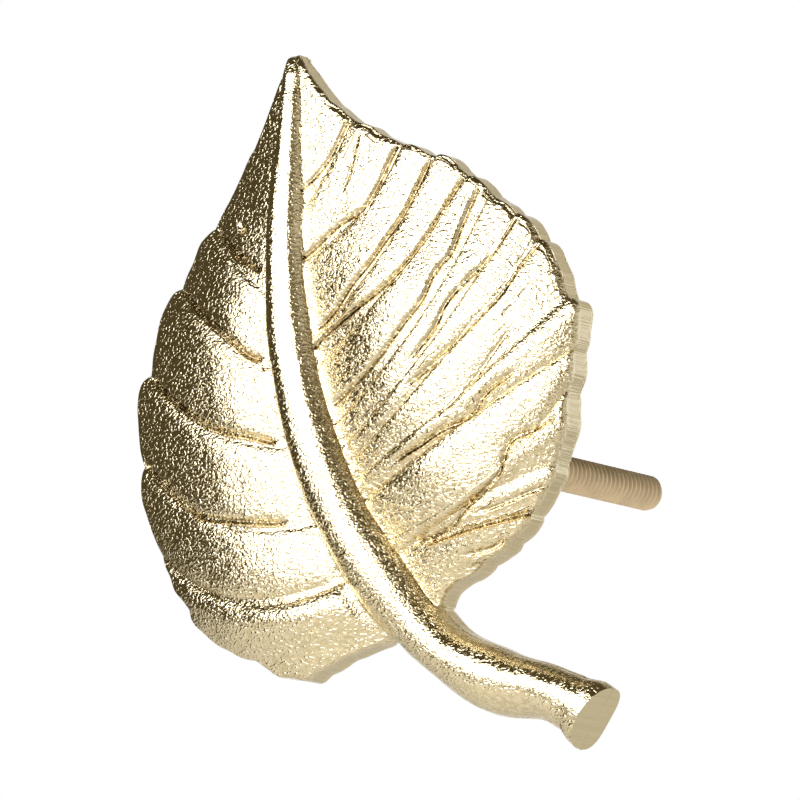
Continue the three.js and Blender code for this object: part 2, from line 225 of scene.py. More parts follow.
@dataclass
class Midrib:
    """The raised midrib and the stem that it runs out into.

    The line holds shares of the leaf's width and height. Each stage holds a share of the
    length, and the width, height over the blade and depth behind it there, as shares of
    the stem's.
    """

    stem_width: float = 7.0
    stem_height: float = 2.9
    stem_depth: float = 3.1
    bluntness: float = 0.62
    level_from: float = 0.726
    cut_angle: float = 36.0
    line_steps: int = 700
    block_size: int = 4000
    tail_blunting: float = 0.02
    tail: Span = (66.0, 76.0)
    crown_power: float = 2.0
    lower_fullness: float = 0.7
    full_above: Span = (58.0, 42.0)
    back_edge: float = 0.45
    neck_edge: float = 0.37
    neck_start: Span = (62.0, 69.0)
    neck_end: Span = (92.0, 76.0)
    back_power: int = 4
    back_bluntness: float = 0.6
    line: tuple[tuple[float, float], ...] = (
        (-0.155, 0.537), (-0.157, 0.457), (-0.163, 0.355), (-0.166, 0.26), (-0.151, 0.132),
        (-0.116, 0.018), (-0.056, -0.098), (0.033, -0.213), (0.1405, -0.3095),
        (0.2545, -0.3645), (0.349, -0.386), (0.419, -0.415), (0.439, -0.4275),
    )
    stages: tuple[tuple[float, ...], ...] = (
        (0.0, 0.14, 0.03, 0.32), (0.026, 0.31, 0.24, 0.42), (0.064, 0.40, 0.38, 0.42),
        (0.212, 0.67, 0.62, 0.42), (0.339, 0.83, 0.79, 0.42), (0.53, 0.93, 0.93, 0.42),
        (0.657, 1.0, 1.05, 0.42), (0.731, 0.85, 1.05, 1.0), (0.773, 0.8, 1.03, 1.0),
        (0.847, 0.95, 1.03, 0.9), (0.94, 0.8, 0.93, 0.8), (0.965, 0.84, 0.9, 0.8),
        (0.99, 1.02, 0.93, 0.86), (1.0, 1.03, 0.93, 0.86),
    )
    curve: SmoothCurve = field(init=False)

    def __post_init__(self) -> None:
        """Lay the centre line."""
        self.curve = SmoothCurve(np.array([DRAWING.point(x, z) for x, z in self.line]))

    @property
    def length(self) -> float:
        """Length of the midrib and stem in millimetres."""
        return self.curve.length

    def section(self, distance: Array) -> tuple[Array, Array, Array]:
        """Sizes at distances from the tip.

        Args:
            distance: Distances along the midrib in millimetres.

        Returns:
            Half width, height over the blade and depth behind it.
        """
        stages = np.array(self.stages)
        along = np.asarray(distance, float) / self.length
        index = np.clip(np.searchsorted(stages[:, 0], along) - 1, 0, len(stages) - 2)
        first, second = stages[index], stages[index + 1]
        share = smooth(along, first[..., 0], second[..., 0])[..., None]
        wide, high, deep = np.moveaxis((first + (second - first) * share)[..., 1:], -1, 0)
        return self.stem_width / 2 * wide, self.stem_height * high, self.stem_depth * deep

    def fall_back(self, points: Array) -> Array:
        """How far the leaf has fallen back towards the door at points.

        Args:
            points: Places in millimetres, with x and z on the last axis.

        Returns:
            Lengths in millimetres.
        """
        x, z = points[..., 0], points[..., 1]
        upwards = self.curve.places[::-1]
        aside = 2 * (x - np.interp(z, upwards[:, 1], upwards[:, 0])) / DRAWING.width
        side_fall = np.where(aside < 0, DRAWING.left_fall, DRAWING.right_fall)
        return side_fall * aside**2 + DRAWING.base_drop(z)

    def level(self, distance: Array) -> Array:
        """How far back the midrib's foot lies, level along the free stem."""
        return self.fall_back(self.curve.at(np.minimum(distance, self.level_from * self.length)))

    def nearest(self, points: Array) -> tuple[Array, Array]:
        """Where points lie against the centre line.

        Args:
            points: Places in millimetres, with x and z on the last axis.

        Returns:
            Distance from the line, and distance along it of the nearest place.
        """
        stops = np.linspace(0, self.length, self.line_steps)
        line = self.curve.at(stops)
        flat = points.reshape(-1, 2)
        found = []
        for block in np.array_split(flat, len(flat) // self.block_size + 1):
            gaps = np.linalg.norm(block[:, None] - line, axis=2)
            found.append((gaps.min(axis=1), stops[gaps.argmin(axis=1)]))
        away, along = np.concatenate(found, axis=1)
        return away.reshape(points.shape[:-1]), along.reshape(points.shape[:-1])


@dataclass(frozen=True)
class Vein:
    """Where a vein leaves the midrib and meets the rim.

    Args:
        root: Share of the midrib's length.
        x: Rim point, share of the leaf's width.
        z: Rim point, share of the leaf's height.
        sag: How far it droops, against the most curved vein.
        shoulder: How far the lobe below it stands out, against the boldest lobe.
        swell: Height of the swell below it, or None where it has no crease.
    """

    root: float
    x: float
    z: float
    sag: float
    shoulder: float
    swell: float | None = None


@dataclass(frozen=True)
class Crease:
    """A groove along a line of the blade's front.

    Args:
        line: Points in millimetres, x and z.
        depth: Greatest depth in millimetres.
        width: Half width in millimetres.
        lip: Height of the ridge on its lower side, as a share of its depth.
        fade_in: Length in millimetres over which it starts.
        fade_out: Length in millimetres over which it ends.
        margin: Distance in millimetres beyond which it has no effect.
        fineness: How many places are worked out along it.
        bottom: Where it is deepest, in half widths above its line.
        lower_side: Width of its lower side, in half widths.
        upper_side: Width of its upper side, in half widths.
        crest: Where the ridge beside it is highest, in half widths above its line.
    """

    line: tuple[tuple[float, float], ...]
    depth: float
    width: float
    lip: float
    fade_in: float = 0.8
    fade_out: float = 0.8
    margin: float = 3.0
    fineness: int = 240
    bottom: float = 1.1
    lower_side: float = 1.2
    upper_side: float = 1.7
    crest: float = -0.6

    def frame(self, points: Array) -> tuple[Array, Array]:
        """Where points lie against the crease.

        Args:
            points: Places in millimetres, with x and z on the last axis.

        Returns:
            Distance from the crease in millimetres, more than nothing above it, and how
            far the crease has come in, from 0 beyond its ends to 1.
        """
        line = SmoothCurve(np.array(self.line), self.fineness)
        flat = points.reshape(-1, 2)
        low = line.places.min(axis=0) - self.margin
        high = line.places.max(axis=0) + self.margin
        near = np.all((flat > low) & (flat < high), axis=1)
        distance = np.full(len(flat), self.margin)
        begun = np.zeros(len(flat))
        if near.any():
            gaps = flat[near][:, None, :] - line.places[None]
            away = np.linalg.norm(gaps, axis=2)
            closest = away.argmin(axis=1)
            heading = line.heading(line.travelled[closest])
            gap = gaps[np.arange(len(gaps)), closest]
            above = heading[:, 0] * gap[:, 1] - heading[:, 1] * gap[:, 0]
            if line.places[0, 0] > line.places[-1, 0]:
                above = -above
            distance[near] = np.where(above < 0, -1, 1) * away.min(axis=1)
            along = line.travelled[closest]
            start = smooth(along, -0.01, self.fade_in)
            begun[near] = start * smooth(line.length - along, -0.01, self.fade_out)
        shape = points.shape[:-1]
        return distance.reshape(shape), begun.reshape(shape)

    def groove(self, points: Array) -> Array:
        """How far the crease lowers the front face.

        Args:
            points: Places in millimetres, with x and z on the last axis.

        Returns:
            Depths in millimetres, less than nothing on its lip.
        """
        distance, begun = self.frame(points)
        share = distance / self.width
        side = np.where(share > self.bottom, self.upper_side, self.lower_side)
        lip = self.lip * np.exp(-(((share - self.crest) / self.lower_side) ** 2))
        cut = np.exp(-(((share - self.bottom) / side) ** 2)) - lip
        return 0.5 * self.depth * begun * cut


@dataclass
class BladeHalf:
    """One half of the blade, from the midrib's foot to the rim."""

    side: Side
    midrib: Midrib
    veins: tuple[Vein, ...]
    creases: tuple[Crease, ...]
    vein_sag: float = 4.0
    lobe_shoulder: float = 1.3
    shoulder_length: float = 0.16
    outline_fineness: int = 12000
    wobble: float = 0.35
    wobble_size: float = 2.3
    wobble_seed: float = 8.5
    wobble_start: Span = (6.0, 16.0)
    wobble_end: Span = (0.3, 2.5)
    outline: SmoothCurve = field(init=False)
    roots: Array = field(init=False)

    def __post_init__(self) -> None:
        """Lay the outline through the veins' ends."""
        ends = np.array([DRAWING.point(vein.x, vein.z) for vein in self.veins])
        self.outline = SmoothCurve(ends, self.outline_fineness)
        self.roots = np.array([vein.root for vein in self.veins]) * self.midrib.length

    @property
    def end(self) -> float:
        """Distance from the tip at which this half of the blade ends."""
        return float(self.roots[-1])

    def bump(self, share: Array) -> Array:
        """Swell that is steep at its upper end and fades to the next vein."""
        rise = 1 - np.exp(-share / (self.shoulder_length / 2))
        return rise * (1 - share * share)

    @staticmethod
    def between(roots: Array, distance: Array) -> tuple[Array, Array]:
        """Find which veins distances along the midrib lie between.

        Args:
            roots: Where the veins leave the midrib.
            distance: Distances along the midrib.

        Returns:
            Index of the vein above each distance, and the share of the way to the next.
        """
        index = np.clip(np.searchsorted(roots, distance, side="left") - 1, 0, len(roots) - 2)
        share = (distance - roots[index]) / (roots[index + 1] - roots[index])
        return index, np.clip(share, 0, 1)

    def rim(self, distance: Array) -> Array:
        """Rim points of the rows.

        Args:
            distance: Where each row leaves the midrib.

        Returns:
            Places in the plane of the drawing.
        """
        index, share = self.between(self.roots, distance)
        at = (index + share) / (len(self.veins) - 1)
        heading = self.outline.heading(at, by_share=True)
        outward = np.stack([-heading[:, 1], heading[:, 0]], axis=1) * self.side.value
        shoulders = np.array([vein.shoulder for vein in self.veins])[index]
        stand = self.lobe_shoulder * shoulders * self.bump(share)
        place = self.outline.at(at, by_share=True)
        loose = smooth(distance, *self.wobble_start) * smooth(self.end - distance, *self.wobble_end)
        wobble = unevenness(place, self.wobble_size, self.wobble_seed)
        stand = stand + self.wobble * loose * wobble
        return place + outward * stand[:, None]

    def rows(self, distance: Array, foot: Array, shares: Array) -> Array:
        """Points of the rows from the midrib's foot to the rim.

        Args:
            distance: Where each row leaves the midrib.
            foot: First point of each row.
            shares: Shares of each row's length, one line for each row.

        Returns:
            Places in the plane of the drawing, rows by columns by two.
        """
        index, share = self.between(self.roots, distance)
        sags = np.array([vein.sag for vein in self.veins])
        sag = self.vein_sag * (sags[index] + (sags[index + 1] - sags[index]) * share)
        rim = self.rim(distance)
        chord = rim - self.midrib.curve.at(distance)
        down = np.stack([chord[:, 1], -chord[:, 0]], axis=1) * self.side.value
        down /= np.linalg.norm(down, axis=1, keepdims=True) + 1e-9
        control = (foot + rim) / 2 + down * 2 * sag[:, None]
        u = shares[..., None]
        start, bend, end = foot[:, None], control[:, None], rim[:, None]
        return (1 - u) ** 2 * start + 2 * u * (1 - u) * bend + u**2 * end

    def swell(self, distance: Array) -> Array:
        """Height of the broad swells between the main veins.

        Args:
            distance: Where each row leaves the midrib.

        Returns:
            Shares of the greatest height.
        """
        main = [vein for vein in self.veins if vein.swell is not None]
        roots = np.array([vein.root for vein in main] + [self.veins[-1].root])
        heights = np.array([vein.swell for vein in main])
        index, share = self.between(roots * self.midrib.length, distance)
        return heights[np.minimum(index, len(heights) - 1)] * self.bump(share)


def left_half(midrib: Midrib) -> BladeHalf:
    """The half of the blade that is left of the midrib.

    Args:
        midrib: The midrib that it starts from.

    Returns:
        The half, with its veins and creases.
    """
    veins = (
        Vein(0, -0.164, 0.536, 0, 0, 0.25), Vein(0.011, -0.173, 0.523, 0, 0),
        Vein(0.106, -0.239, 0.415, 0.07, 0.19), Vein(0.275, -0.331, 0.317, 0.12, 0.42, 0.45),
        Vein(0.36, -0.411, 0.242, 0.3, 0.92, 0.45), Vein(0.45, -0.492, 0.129, 0.6, 1, 0.5),
        Vein(0.546, -0.518, 0.004, 0.82, 0.54, 0.5), Vein(0.62, -0.486, -0.121, 1, 0.08, 1),
        Vein(0.64, -0.425, -0.202, 0.65, 1), Vein(0.658, -0.276, -0.287, 0, 0.38),
        Vein(0.67, -0.178, -0.321, -0.35, 0), Vein(0.69, -0.068, -0.302, -0.2, 0),
        Vein(0.711, 0.0475, -0.289, 0, 0),
    )
    creases = (
        Crease(((-17.2, 23.2), (-16.4, 23.7)), 0.9, 0.6, 0.2, 0.3, 0.3),
        Crease(((-21.7, 24.6), (-19, 21.8), (-16.9, 20), (-14.6, 18.4)), 0.42, 0.3, 0.8),
        Crease(((-26.7, 18.4), (-24.4, 15.7), (-20.7, 13), (-17.8, 10.6), (-16.1, 9.3),
                (-14.1, 8.6)), 0.42, 0.3, 0.8),
        Crease(((-32.5, 9.5), (-29.5, 7.1), (-25.9, 4.7), (-22.1, 2.6), (-19.1, 1.4),
                (-16.7, 0.8), (-12.2, -0.7)), 0.42, 0.32, 0.8),
        Crease(((-34.5, 0.3), (-31.5, -1.8), (-28.8, -3.9), (-26.5, -5.6), (-24.3, -7),
                (-21.4, -7.7), (-14.1, -9), (-10.6, -9.4)), 0.4, 0.34, 0.7),
        Crease(((-32.6, -10), (-28.5, -12.8), (-25.4, -14.5), (-21.3, -16), (-15.9, -16.9),
                (-9.8, -17), (-4.4, -16.5)), 0.11, 0.3, 0.5, 0.4, 2.5),
    )
    return BladeHalf(Side.LEFT, midrib, veins, creases)


def right_half(midrib: Midrib) -> BladeHalf:
    """The half of the blade that is right of the midrib.

    Args:
        midrib: The midrib that it starts from.

    Returns:
        The half, with its veins and creases.
    """
    veins = (
        Vein(0, -0.146, 0.538, 0, 0, 0.19), Vein(0.011, -0.139, 0.529, 0, 0),
        Vein(0.074, -0.092, 0.477, 0.05, 0), Vein(0.185, -0.03, 0.43, 0.1, 0.15, 0.25),
        Vein(0.244, 0.071, 0.382, 0.45, 0.31, 0.31), Vein(0.344, 0.134, 0.357, 0.33, 0.46, 0.31),
        Vein(0.376, 0.197, 0.324, 0.25, 0.31, 0.31), Vein(0.456, 0.238, 0.294, 0.4, 0.15, 0.37),
        Vein(0.487, 0.285, 0.263, 0.33, 0.38, 0.37), Vein(0.511, 0.327, 0.222, 0.12, 0.54, 0.44),
        Vein(0.534, 0.38, 0.138, 0.1, 0.88, 0.5), Vein(0.561, 0.393, 0.067, -0.12, 0.15, 0.75),
        Vein(0.623, 0.386, 0.011, 0.5, 0.31, 0.62), Vein(0.65, 0.361, -0.084, -0.25, 0.31, 0.44),
        Vein(0.669, 0.321, -0.147, 0, 0.35), Vein(0.684, 0.279, -0.178, 0, 0.28),
        Vein(0.697, 0.229, -0.203, 0, 0.19), Vein(0.71, 0.182, -0.226, 0, 0),
        Vein(0.72, 0.157, -0.236, 0, 0), Vein(0.731, 0.1435, -0.252, 0, 0),
        Vein(0.738, 0.1435, -0.2575, 0, 0),
    )
    creases = (
        Crease(((-9.1, 23.6), (-9.3, 24.6), (-8.9, 26.4), (-6.7, 28), (-4.6, 30), (-3.1, 32.3),
                (-2.3, 33.7)), 0.32, 0.26, 0.3, 1.2, 0.3),
        Crease(((-3.3, 25.2), (-2, 27.3), (-1.2, 29.9), (-0.5, 31.9)), 0.2, 0.28, 0.2, 2, 1),
        Crease(((-9.1, 18.9), (-6.7, 20.2), (-3.6, 22.1), (-0.2, 23.5), (1.8, 25.9), (3.1, 28),
                (4.4, 29.9)), 0.4, 0.28, 0.5, 0.6, 0.3),
        Crease(((-6.5, 11), (-4.2, 12.7), (-1.6, 15.5), (0.7, 17.5), (2.8, 19.7), (5.1, 22.1),
                (6.8, 24.6), (8.7, 27.7)), 0.52, 0.28, 0.5, 1.5, 0.3),
        Crease(((-6.6, 8.9), (-5.7, 10), (-3.3, 11.4), (1.6, 14.1), (4.6, 16), (7.6, 18.7),
                (9.5, 20.9), (12.6, 24.8)), 0.5, 0.28, 0.5, 0.6, 0.4),
        Crease(((-4.3, 2.5), (-2.1, 3.9), (0.6, 5.8), (5.3, 10.4), (7.6, 12.6), (9.3, 15.4),
                (11.3, 17.2), (12.7, 19.9), (14.9, 23.9)), 0.42, 0.28, 0.5, 0.8, 0.5),
        Crease(((6, 6.2), (9.3, 9.4), (10.9, 11.9), (13.8, 14.3), (16.4, 16.1), (18.6, 18.6),
                (19.5, 19.8)), 0.36, 0.26, 0.4, 1.2, 0.8),
        Crease(((5.4, 3.3), (8, 4.8), (11.3, 6.9), (14.5, 9.3), (18, 12.1), (20.2, 14.8),
                (22, 16.5)), 0.36, 0.28, 0.4, 1.5, 0.4),
        Crease(((8.7, -0.4), (11.3, 0.6), (13.6, 2.5), (16.4, 5.5), (19.6, 8.9)), 0.2, 0.3, 0.3,
               2.5, 2),
        Crease(((3.7, -4.7), (7, -3.3), (10.1, -1.9), (13.9, -0.8), (15.5, 1.2), (19.9, 3.7)),
               0.42, 0.34, 0.5, 1.5, 2),
        Crease(((6.3, -13.4), (7.7, -13.2), (10.1, -12.6), (11.6, -12), (13.4, -10.3),
                (15.2, -9.2), (16.6, -8.2), (17.9, -7), (18.4, -5), (19.4, -3.7), (22.2, -3),
                (24.5, -2)), 0.42, 0.34, 0.5, 1, 0.5),
        Crease(((13.4, -11.1), (15.9, -10.9), (18, -10.5), (20.9, -9.8), (23.6, -9.2)), 0.32,
               0.3, 0.5, 1.2, 0.3),
        Crease(((7.5, -13.8), (11.2, -13.1), (16.7, -12.3), (19.8, -12), (22.1, -11.8)), 0.65,
               0.6, 0.5, 1.5, 0.4),
        Crease(((12.6, -15.3), (14.6, -15.3), (16.6, -15.1), (18.2, -14.4)), 0.28, 0.4, 0.4,
               1.5, 0.3),
    )
    return BladeHalf(Side.RIGHT, midrib, veins, creases)


def make_active(piece: Piece) -> None:
    """Select a piece alone."""
    bpy.ops.object.select_all(action="DESELECT")
    piece.select_set(True)
    bpy.context.view_layer.objects.active = piece


def boolean(piece: Piece, tool: Piece, operation: str) -> None:
    """Join a tool to a piece or cut it away, and drop the tool.

    Args:
        piece: The mesh that changes.
        tool: The mesh that is joined or cut away.
        operation: UNION or DIFFERENCE.
    """
    modifier = piece.modifiers.new("shape", "BOOLEAN")
    modifier.operation = operation
    modifier.solver = "MANIFOLD"
    modifier.object = tool
    make_active(piece)
    bpy.ops.object.modifier_apply(modifier=modifier.name)
    bpy.data.objects.remove(tool, do_unlink=True)


def start_piece(name: str) -> tuple[Piece, bmesh.types.BMesh]:
    """Start a piece.

    Args:
        name: Name of the object.

    Returns:
        The object, in edit mode, and its empty mesh.
    """
    bpy.ops.object.select_all(action="DESELECT")
    bpy.ops.mesh.primitive_circle_add(vertices=3, radius=MM)
    piece = bpy.context.object
    piece.name = name
    bpy.ops.object.mode_set(mode="EDIT")
    shape = bmesh.from_edit_mesh(piece.data)
    shape.clear()
    return piece, shape


def end_piece() -> None:
    """Turn all faces outwards and leave edit mode."""
    bpy.ops.mesh.select_all(action="SELECT")
    bpy.ops.mesh.normals_make_consistent(inside=False)
    bpy.ops.object.mode_set(mode="OBJECT")


def turned(name: str, profile: list[tuple[float, float]], sides: int) -> Piece:
    """Turn a profile round the Y axis.

    Args:
        name: Name of the object.
        profile: Pairs of radius and place along Y, in millimetres, from one pole to the other.
        sides: How many sides the turned piece has.

    Returns:
        A closed mesh whose faces point outwards.
    """
    piece, shape = start_piece(name)
    corners = [shape.verts.new((radius * MM, along * MM, 0)) for radius, along in profile]
    for pair in zip(corners, corners[1:]):
        shape.edges.new(pair)
    bmesh.update_edit_mesh(piece.data)
    bpy.ops.mesh.select_all(action="SELECT")
    bpy.ops.mesh.spin(
        steps=sides, angle=math.tau, center=(0, 0, 0), axis=(0, 1, 0), use_normal_flip=False)
    bpy.ops.mesh.select_all(action="SELECT")
    bpy.ops.mesh.remove_doubles(threshold=POLE_WELD)
    end_piece()
    return piece


def smooth_shading(piece: Piece, angle: float) -> None:
    """Shade faces smooth where they meet at less than an angle in degrees."""
    make_active(piece)
    bpy.ops.object.shade_smooth_by_angle(angle=math.radians(angle))


@dataclass
class LeafCasting:
    """The blade, its midrib and stem, and the post behind it, cast as one piece.

    A point that is bent back by a length also moves aside and up, by sight_aside and
    sight_up of that length, so that it keeps its place in the photograph. The slopes and
    turns hold, at heights of the leaf, how steeply the left half leans back beside the
    midrib, and how far out it starts to turn further back.
    """

    row_spacing: float = 0.3
    vein_spacing: float = 0.11
    vein_reach: float = 0.7
    veins_from: float = 12.0
    first_base_vein: int = -7
    end_slope: float = 4.0
    end_run: float = 0.6
    rim_round: float = 0.45
    tip_round: float = 0.8
    tip_inset: float = 0.02
    tip_span: Span = (4.0, 1.0)
    back_round: float = 0.3
    rim_ease: float = 0.25
    foot_fillet: float = 0.9
    back_fillet: float = 0.8
    foot_slope: float = 2.5
    stem_land: float = 0.1
    swell_height: float = 0.8
    relief_fade: float = 4.0
    bump_seed: float = 3.1
    broad_height: float = 0.08
    broad_size: float = 3.2
    fine_height: float = 0.02
    fine_size: float = 1.0
    rougher_share: float = 0.7
    rougher_below: Span = (8.0, -2.0)
    creases_from_rim: Span = (-0.3, 0.5)
    creases_from_foot: Span = (2.4, 4.4)
    bumps_from_rim: Span = (0.2, 1.2)
    worn_size: float = 1.4
    worn_seed: float = 12.3
    worn_spread: float = 0.9
    worn_rim: float = 0.7
    worn_fringe: float = 1.0
    worn_upwards: Span = (9.0, 20.0)
    dome_fall: float = 1.2
    dome_middle: float = 8.0
    dome_reach: float = 30.0
    left_dome_loss: float = 0.5
    left_dome_span: Span = (3.0, 13.0)
    lean_heights: tuple[float, ...] = (-24, -16, -8, 0, 8, 15, 20, 24, 30, 42)
    lean_slopes: tuple[float, ...] = (
        -0.14, -0.15, -0.14, -0.14, -0.12, -0.06, 0.04, 0.14, 0.3, 0.35)
    turn_heights: tuple[float, ...] = (-24, -12, -2, 8, 15, 20, 24)
    turns: tuple[float, ...] = (22, 18, 14, 11.5, 8, 4.5, 2.5)
    lean_ease: float = 1.0
    turn_ease: float = 6.0
    outer_slope: float = 0.2
    held_above: Span = (-6.5, -0.5)
    valley_start: float = 2.5
    left_roll: float = 0.5
    left_roll_reach: float = 4.5
    left_roll_span: Span = (1.0, 9.0)
    valley_depth: float = 0.25
    valley_width: float = 1.4
    trough_start: float = 2.4
    trough_rise: float = 3.2
    trough_reach: float = 7.0
    trough_edge: float = 14.0
    trough_below: Span = (28.0, 13.0)
    level_radii: Span = (14.0, 8.5)
    sight_aside: float = 0.81
    sight_up: float = 0.257
    rim_insets: tuple[float, ...] = (0.45, 0.36, 0.26, 0.17, 0.09, 0.03, 0.0)
    full_inset_length: float = 1.8
    foot_crowding: float = 1.15
    half_columns: int = 40
    crown_columns: int = 34
    back_columns: int = 12
    back_rim_columns: tuple[int, ...] = (7, 4, 3, 2, 1)
    wall_steps: tuple[float, ...] = (0.2, 0.4, 0.6, 0.8)
    post_length: float = 20.0
    post_radius: float = 5.0
    post_flare: float = 2.5
    post_root: float = 1.3
    post_bevel: float = 0.4
    post_land: float = 0.02
    flare_steps: int = 13
    bevel_steps: int = 7
    hole_radius: float = 2.3
    hole_depth: float = 12.3
    hole_bevel: float = 0.35
    post_sides: int = 96
    hole_sides: int = 64
    end_marks: float = 0.7
    lower_wear_loss: float = 0.8
    upper_wear_end: Span = (36.0, 52.0)
    stem_wear: float = 0.5
    stem_wear_start: Span = (66.0, 78.0)
    bold_depth: float = 0.4
    bold_reach: Span = (1.6, 0.9)
    # Worn notches along the upper right rim: a groove in the bump, with a line of painted shade in
    # it.
    rim_notch_shade_base: float = 0.6
    rim_notch_shade_most: float = 1.2
    rim_notch_shade_fringe: float = 1.0
    rim_notch_shade_from: Span = (8.0, 16.0)
    rim_notch_shade_to: Span = (41.0, 33.0)
    shade_line_gap: float = 0.42
    shade_line_fringe: float = 0.25
    smooth_angle: float = 38.0
    midrib: Midrib = field(default_factory=Midrib)
    left: BladeHalf = field(init=False)
    right: BladeHalf = field(init=False)

    def __post_init__(self) -> None:
        """Draw both halves of the blade."""
        self.left = left_half(self.midrib)
        self.right = right_half(self.midrib)

    def build(self) -> Piece:
        """Build the casting.

        Returns:
            One closed mesh.
        """
        distance = self.distances()
        left, right = (self.half_surface(half, distance) for half in (self.left, self.right))
        piece = self.skin(left, self.crown_surface(distance), right)
        boolean(piece, self.post(), "UNION")
        boolean(piece, self.hole(), "DIFFERENCE")
        smooth_shading(piece, self.smooth_angle)
        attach(piece, "root")
        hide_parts("leaf_casting")
        return piece

    def distances(self) -> Array:
        """Where the rows leave the midrib, close together beside the veins.

        Returns:
            Distances along the midrib from the tip.
        """
        roots = [half.roots for half in (self.left, self.right)]
        veins = np.unique(np.concatenate([run[run > self.veins_from] for run in roots]))
        stops = [0.0]
        while stops[-1] < self.midrib.length:
            here = stops[-1]
            near = np.abs(veins - here).min() < self.vein_reach
            base = self.left.roots[self.first_base_vein] < here < self.right.end + 1
            stops.append(here + (self.vein_spacing if near or base else self.row_spacing))
        stops[-1] = self.midrib.length
        return np.array(stops)

    def shares(self, lengths: Array) -> Array:
        """Shares of the rows' lengths, close together at the foot and at the rim.

        Args:
            lengths: Length of each row in millimetres.

        Returns:
            Shares, one line for each row.
        """
        even = np.linspace(0, 1, self.half_columns + 1) ** self.foot_crowding
        scale = np.minimum(1.0, lengths / self.full_inset_length)[:, None]
        edge = 1 - np.array([self.rim_insets]) * scale / lengths[:, None]
        return np.concatenate([even[None, :-1] * edge[:, :1], edge], axis=1)

    def across(self, distance: Array) -> Array:
        """Directions across the midrib, towards its right side.

        Args:
            distance: Distances along the midrib.

        Returns:
            Directions of length 1.
        """
        heading = self.midrib.curve.heading(distance)
        across = np.stack([-heading[:, 1], heading[:, 0]], axis=1)
        cut = math.radians(self.midrib.cut_angle)
        sawn = np.array([math.sin(cut), math.cos(cut)])
        turn = smooth(distance, self.midrib.length - 3.0, self.midrib.length)[:, None]
        across = across * (1 - turn) + sawn * turn
        return across / np.linalg.norm(across, axis=1, keepdims=True)

    def dome(self, plan: Array) -> Array:
        """How far the upper and lower ends of the leaf fall back from its middle."""
        return self.dome_fall * ((plan[..., 1] - self.dome_middle) / self.dome_reach) ** 2

    def lean(self, plan: Array, away: Array, along: Array) -> Array:
        """How far the left half leans back beyond its even fall.

        Args:
            plan: The left half's rows in plan.
            away: Distance of each point from the midrib's centre line.
            along: Distance along the midrib to each point.

        Returns:
            Lengths in millimetres, less than nothing where it stands forward.
        """
        half = self.midrib.section(along)[0]
        x, z = plan[..., 0], plan[..., 1]
        flat = np.zeros_like(away)
        slope = np.interp(z, self.lean_heights, self.lean_slopes)
        turn = np.interp(z, self.turn_heights, self.turns)
        leant = slope * soft_most(away - half, flat, self.lean_ease)
        leant = leant + self.outer_slope * soft_most(away - turn, flat, self.turn_ease)
        fold = SmoothCurve(np.array(self.left.creases[-1].line)).places
        above = z - np.interp(x, fold[:, 0], fold[:, 1])
        held = DRAWING.base_drop(z) * smooth(above, *self.held_above)
        valley = self.valley_depth * np.exp(-((above / self.valley_width) ** 2))
        return leant + (valley - held) * smooth(away, half, half + self.valley_start)

    def trough(self, plan: Array, away: Array) -> Array:
        """How far the right half stands forward, away from the trough beside the midrib.

        Args:
            plan: The right half's rows in plan.
            away: Distance of each point from the midrib's centre line.

        Returns:
            Lengths in millimetres.
        """
        out = np.clip(away - self.trough_start, 0, None)
        rise = 1 - np.exp(-((out / self.trough_reach) ** 2))
        rise = rise * (1 - np.exp(-from_rim(plan) / self.trough_edge))
        return self.trough_rise * rise * smooth(plan[..., 1], *self.trough_below)

    def beside_post(self, plan: Array, bend: Array) -> Array:
        """Share of the blade's back that stays level beside the post.

        Args:
            plan: The right half's rows in plan.
            bend: How far each point is bent back.

        Returns:
            Shares, 1 beside the post.
        """
        aside = plan[..., 0] - self.sight_aside * bend
        height = plan[..., 1] + self.sight_up * bend
        return smooth(np.hypot(aside, height), *self.level_radii)

    def half_rows(self, half: BladeHalf, distance: Array) -> Array:
        """Plan of one half's rows, drawn in to a narrow land along the free stem.

        Args:
            half: The half of the blade.
            distance: Where each row leaves the midrib.

        Returns:
            Places in millimetres, rows by columns by two.
        """
        wide = self.midrib.section(distance)[0]
        outward = self.across(distance) * half.side.value
        foot = self.midrib.curve.at(distance) + outward * wide[:, None]
        held = np.minimum(distance, half.end)
        lengths = np.linalg.norm(half.rim(held) - foot, axis=1)
        shares = self.shares(np.maximum(lengths, self.stem_land))
        even = np.linspace(0, 1, shares.shape[1])
        land = foot[:, None] + outward[:, None] * (even[None, :, None] * self.stem_land)
        gone = smooth(distance, half.end - 0.5, half.end)[:, None, None]
        return half.rows(held, foot, shares) * (1 - gone) + land * gone

    def crown_rows(self, distance: Array) -> tuple[Array, Array]:
        """Plan of the rows over the midrib.

        Args:
            distance: Distance of each row from the tip.

        Returns:
            Places in millimetres, and how far across the midrib each point lies.
        """
        spread = np.linspace(-1, 1, self.crown_columns + 1)[1:-1]
        aside = np.sin(spread * math.pi / 2)[None] * self.midrib.section(distance)[0][:, None]
        centre = self.midrib.curve.at(distance)
        return centre[:, None] + self.across(distance)[:, None] * aside[..., None], aside

    def rib_front(self, away: Array, along: Array) -> Array:
        """Depth of the midrib's crown, running steeply back beyond its foot.

        Args:
            away: Distance of each point from the midrib's centre line.
            along: Distance along the midrib to each point.

        Returns:
            Depths in millimetres, back towards the door.
        """
        rib = self.midrib
        half, high, _ = rib.section(along)
        share = np.clip(np.abs(away) / half, 0, 1)
        blunt = rib.bluntness - rib.tail_blunting * smooth(along, *rib.tail)
        flat = rib.crown_power + rib.lower_fullness * smooth(along, *rib.full_above)
        crown = high * (1 - share**flat) ** blunt
        beyond = np.clip(np.abs(away) - half, 0, None)
        return rib.level(along) - crown + self.foot_slope * beyond

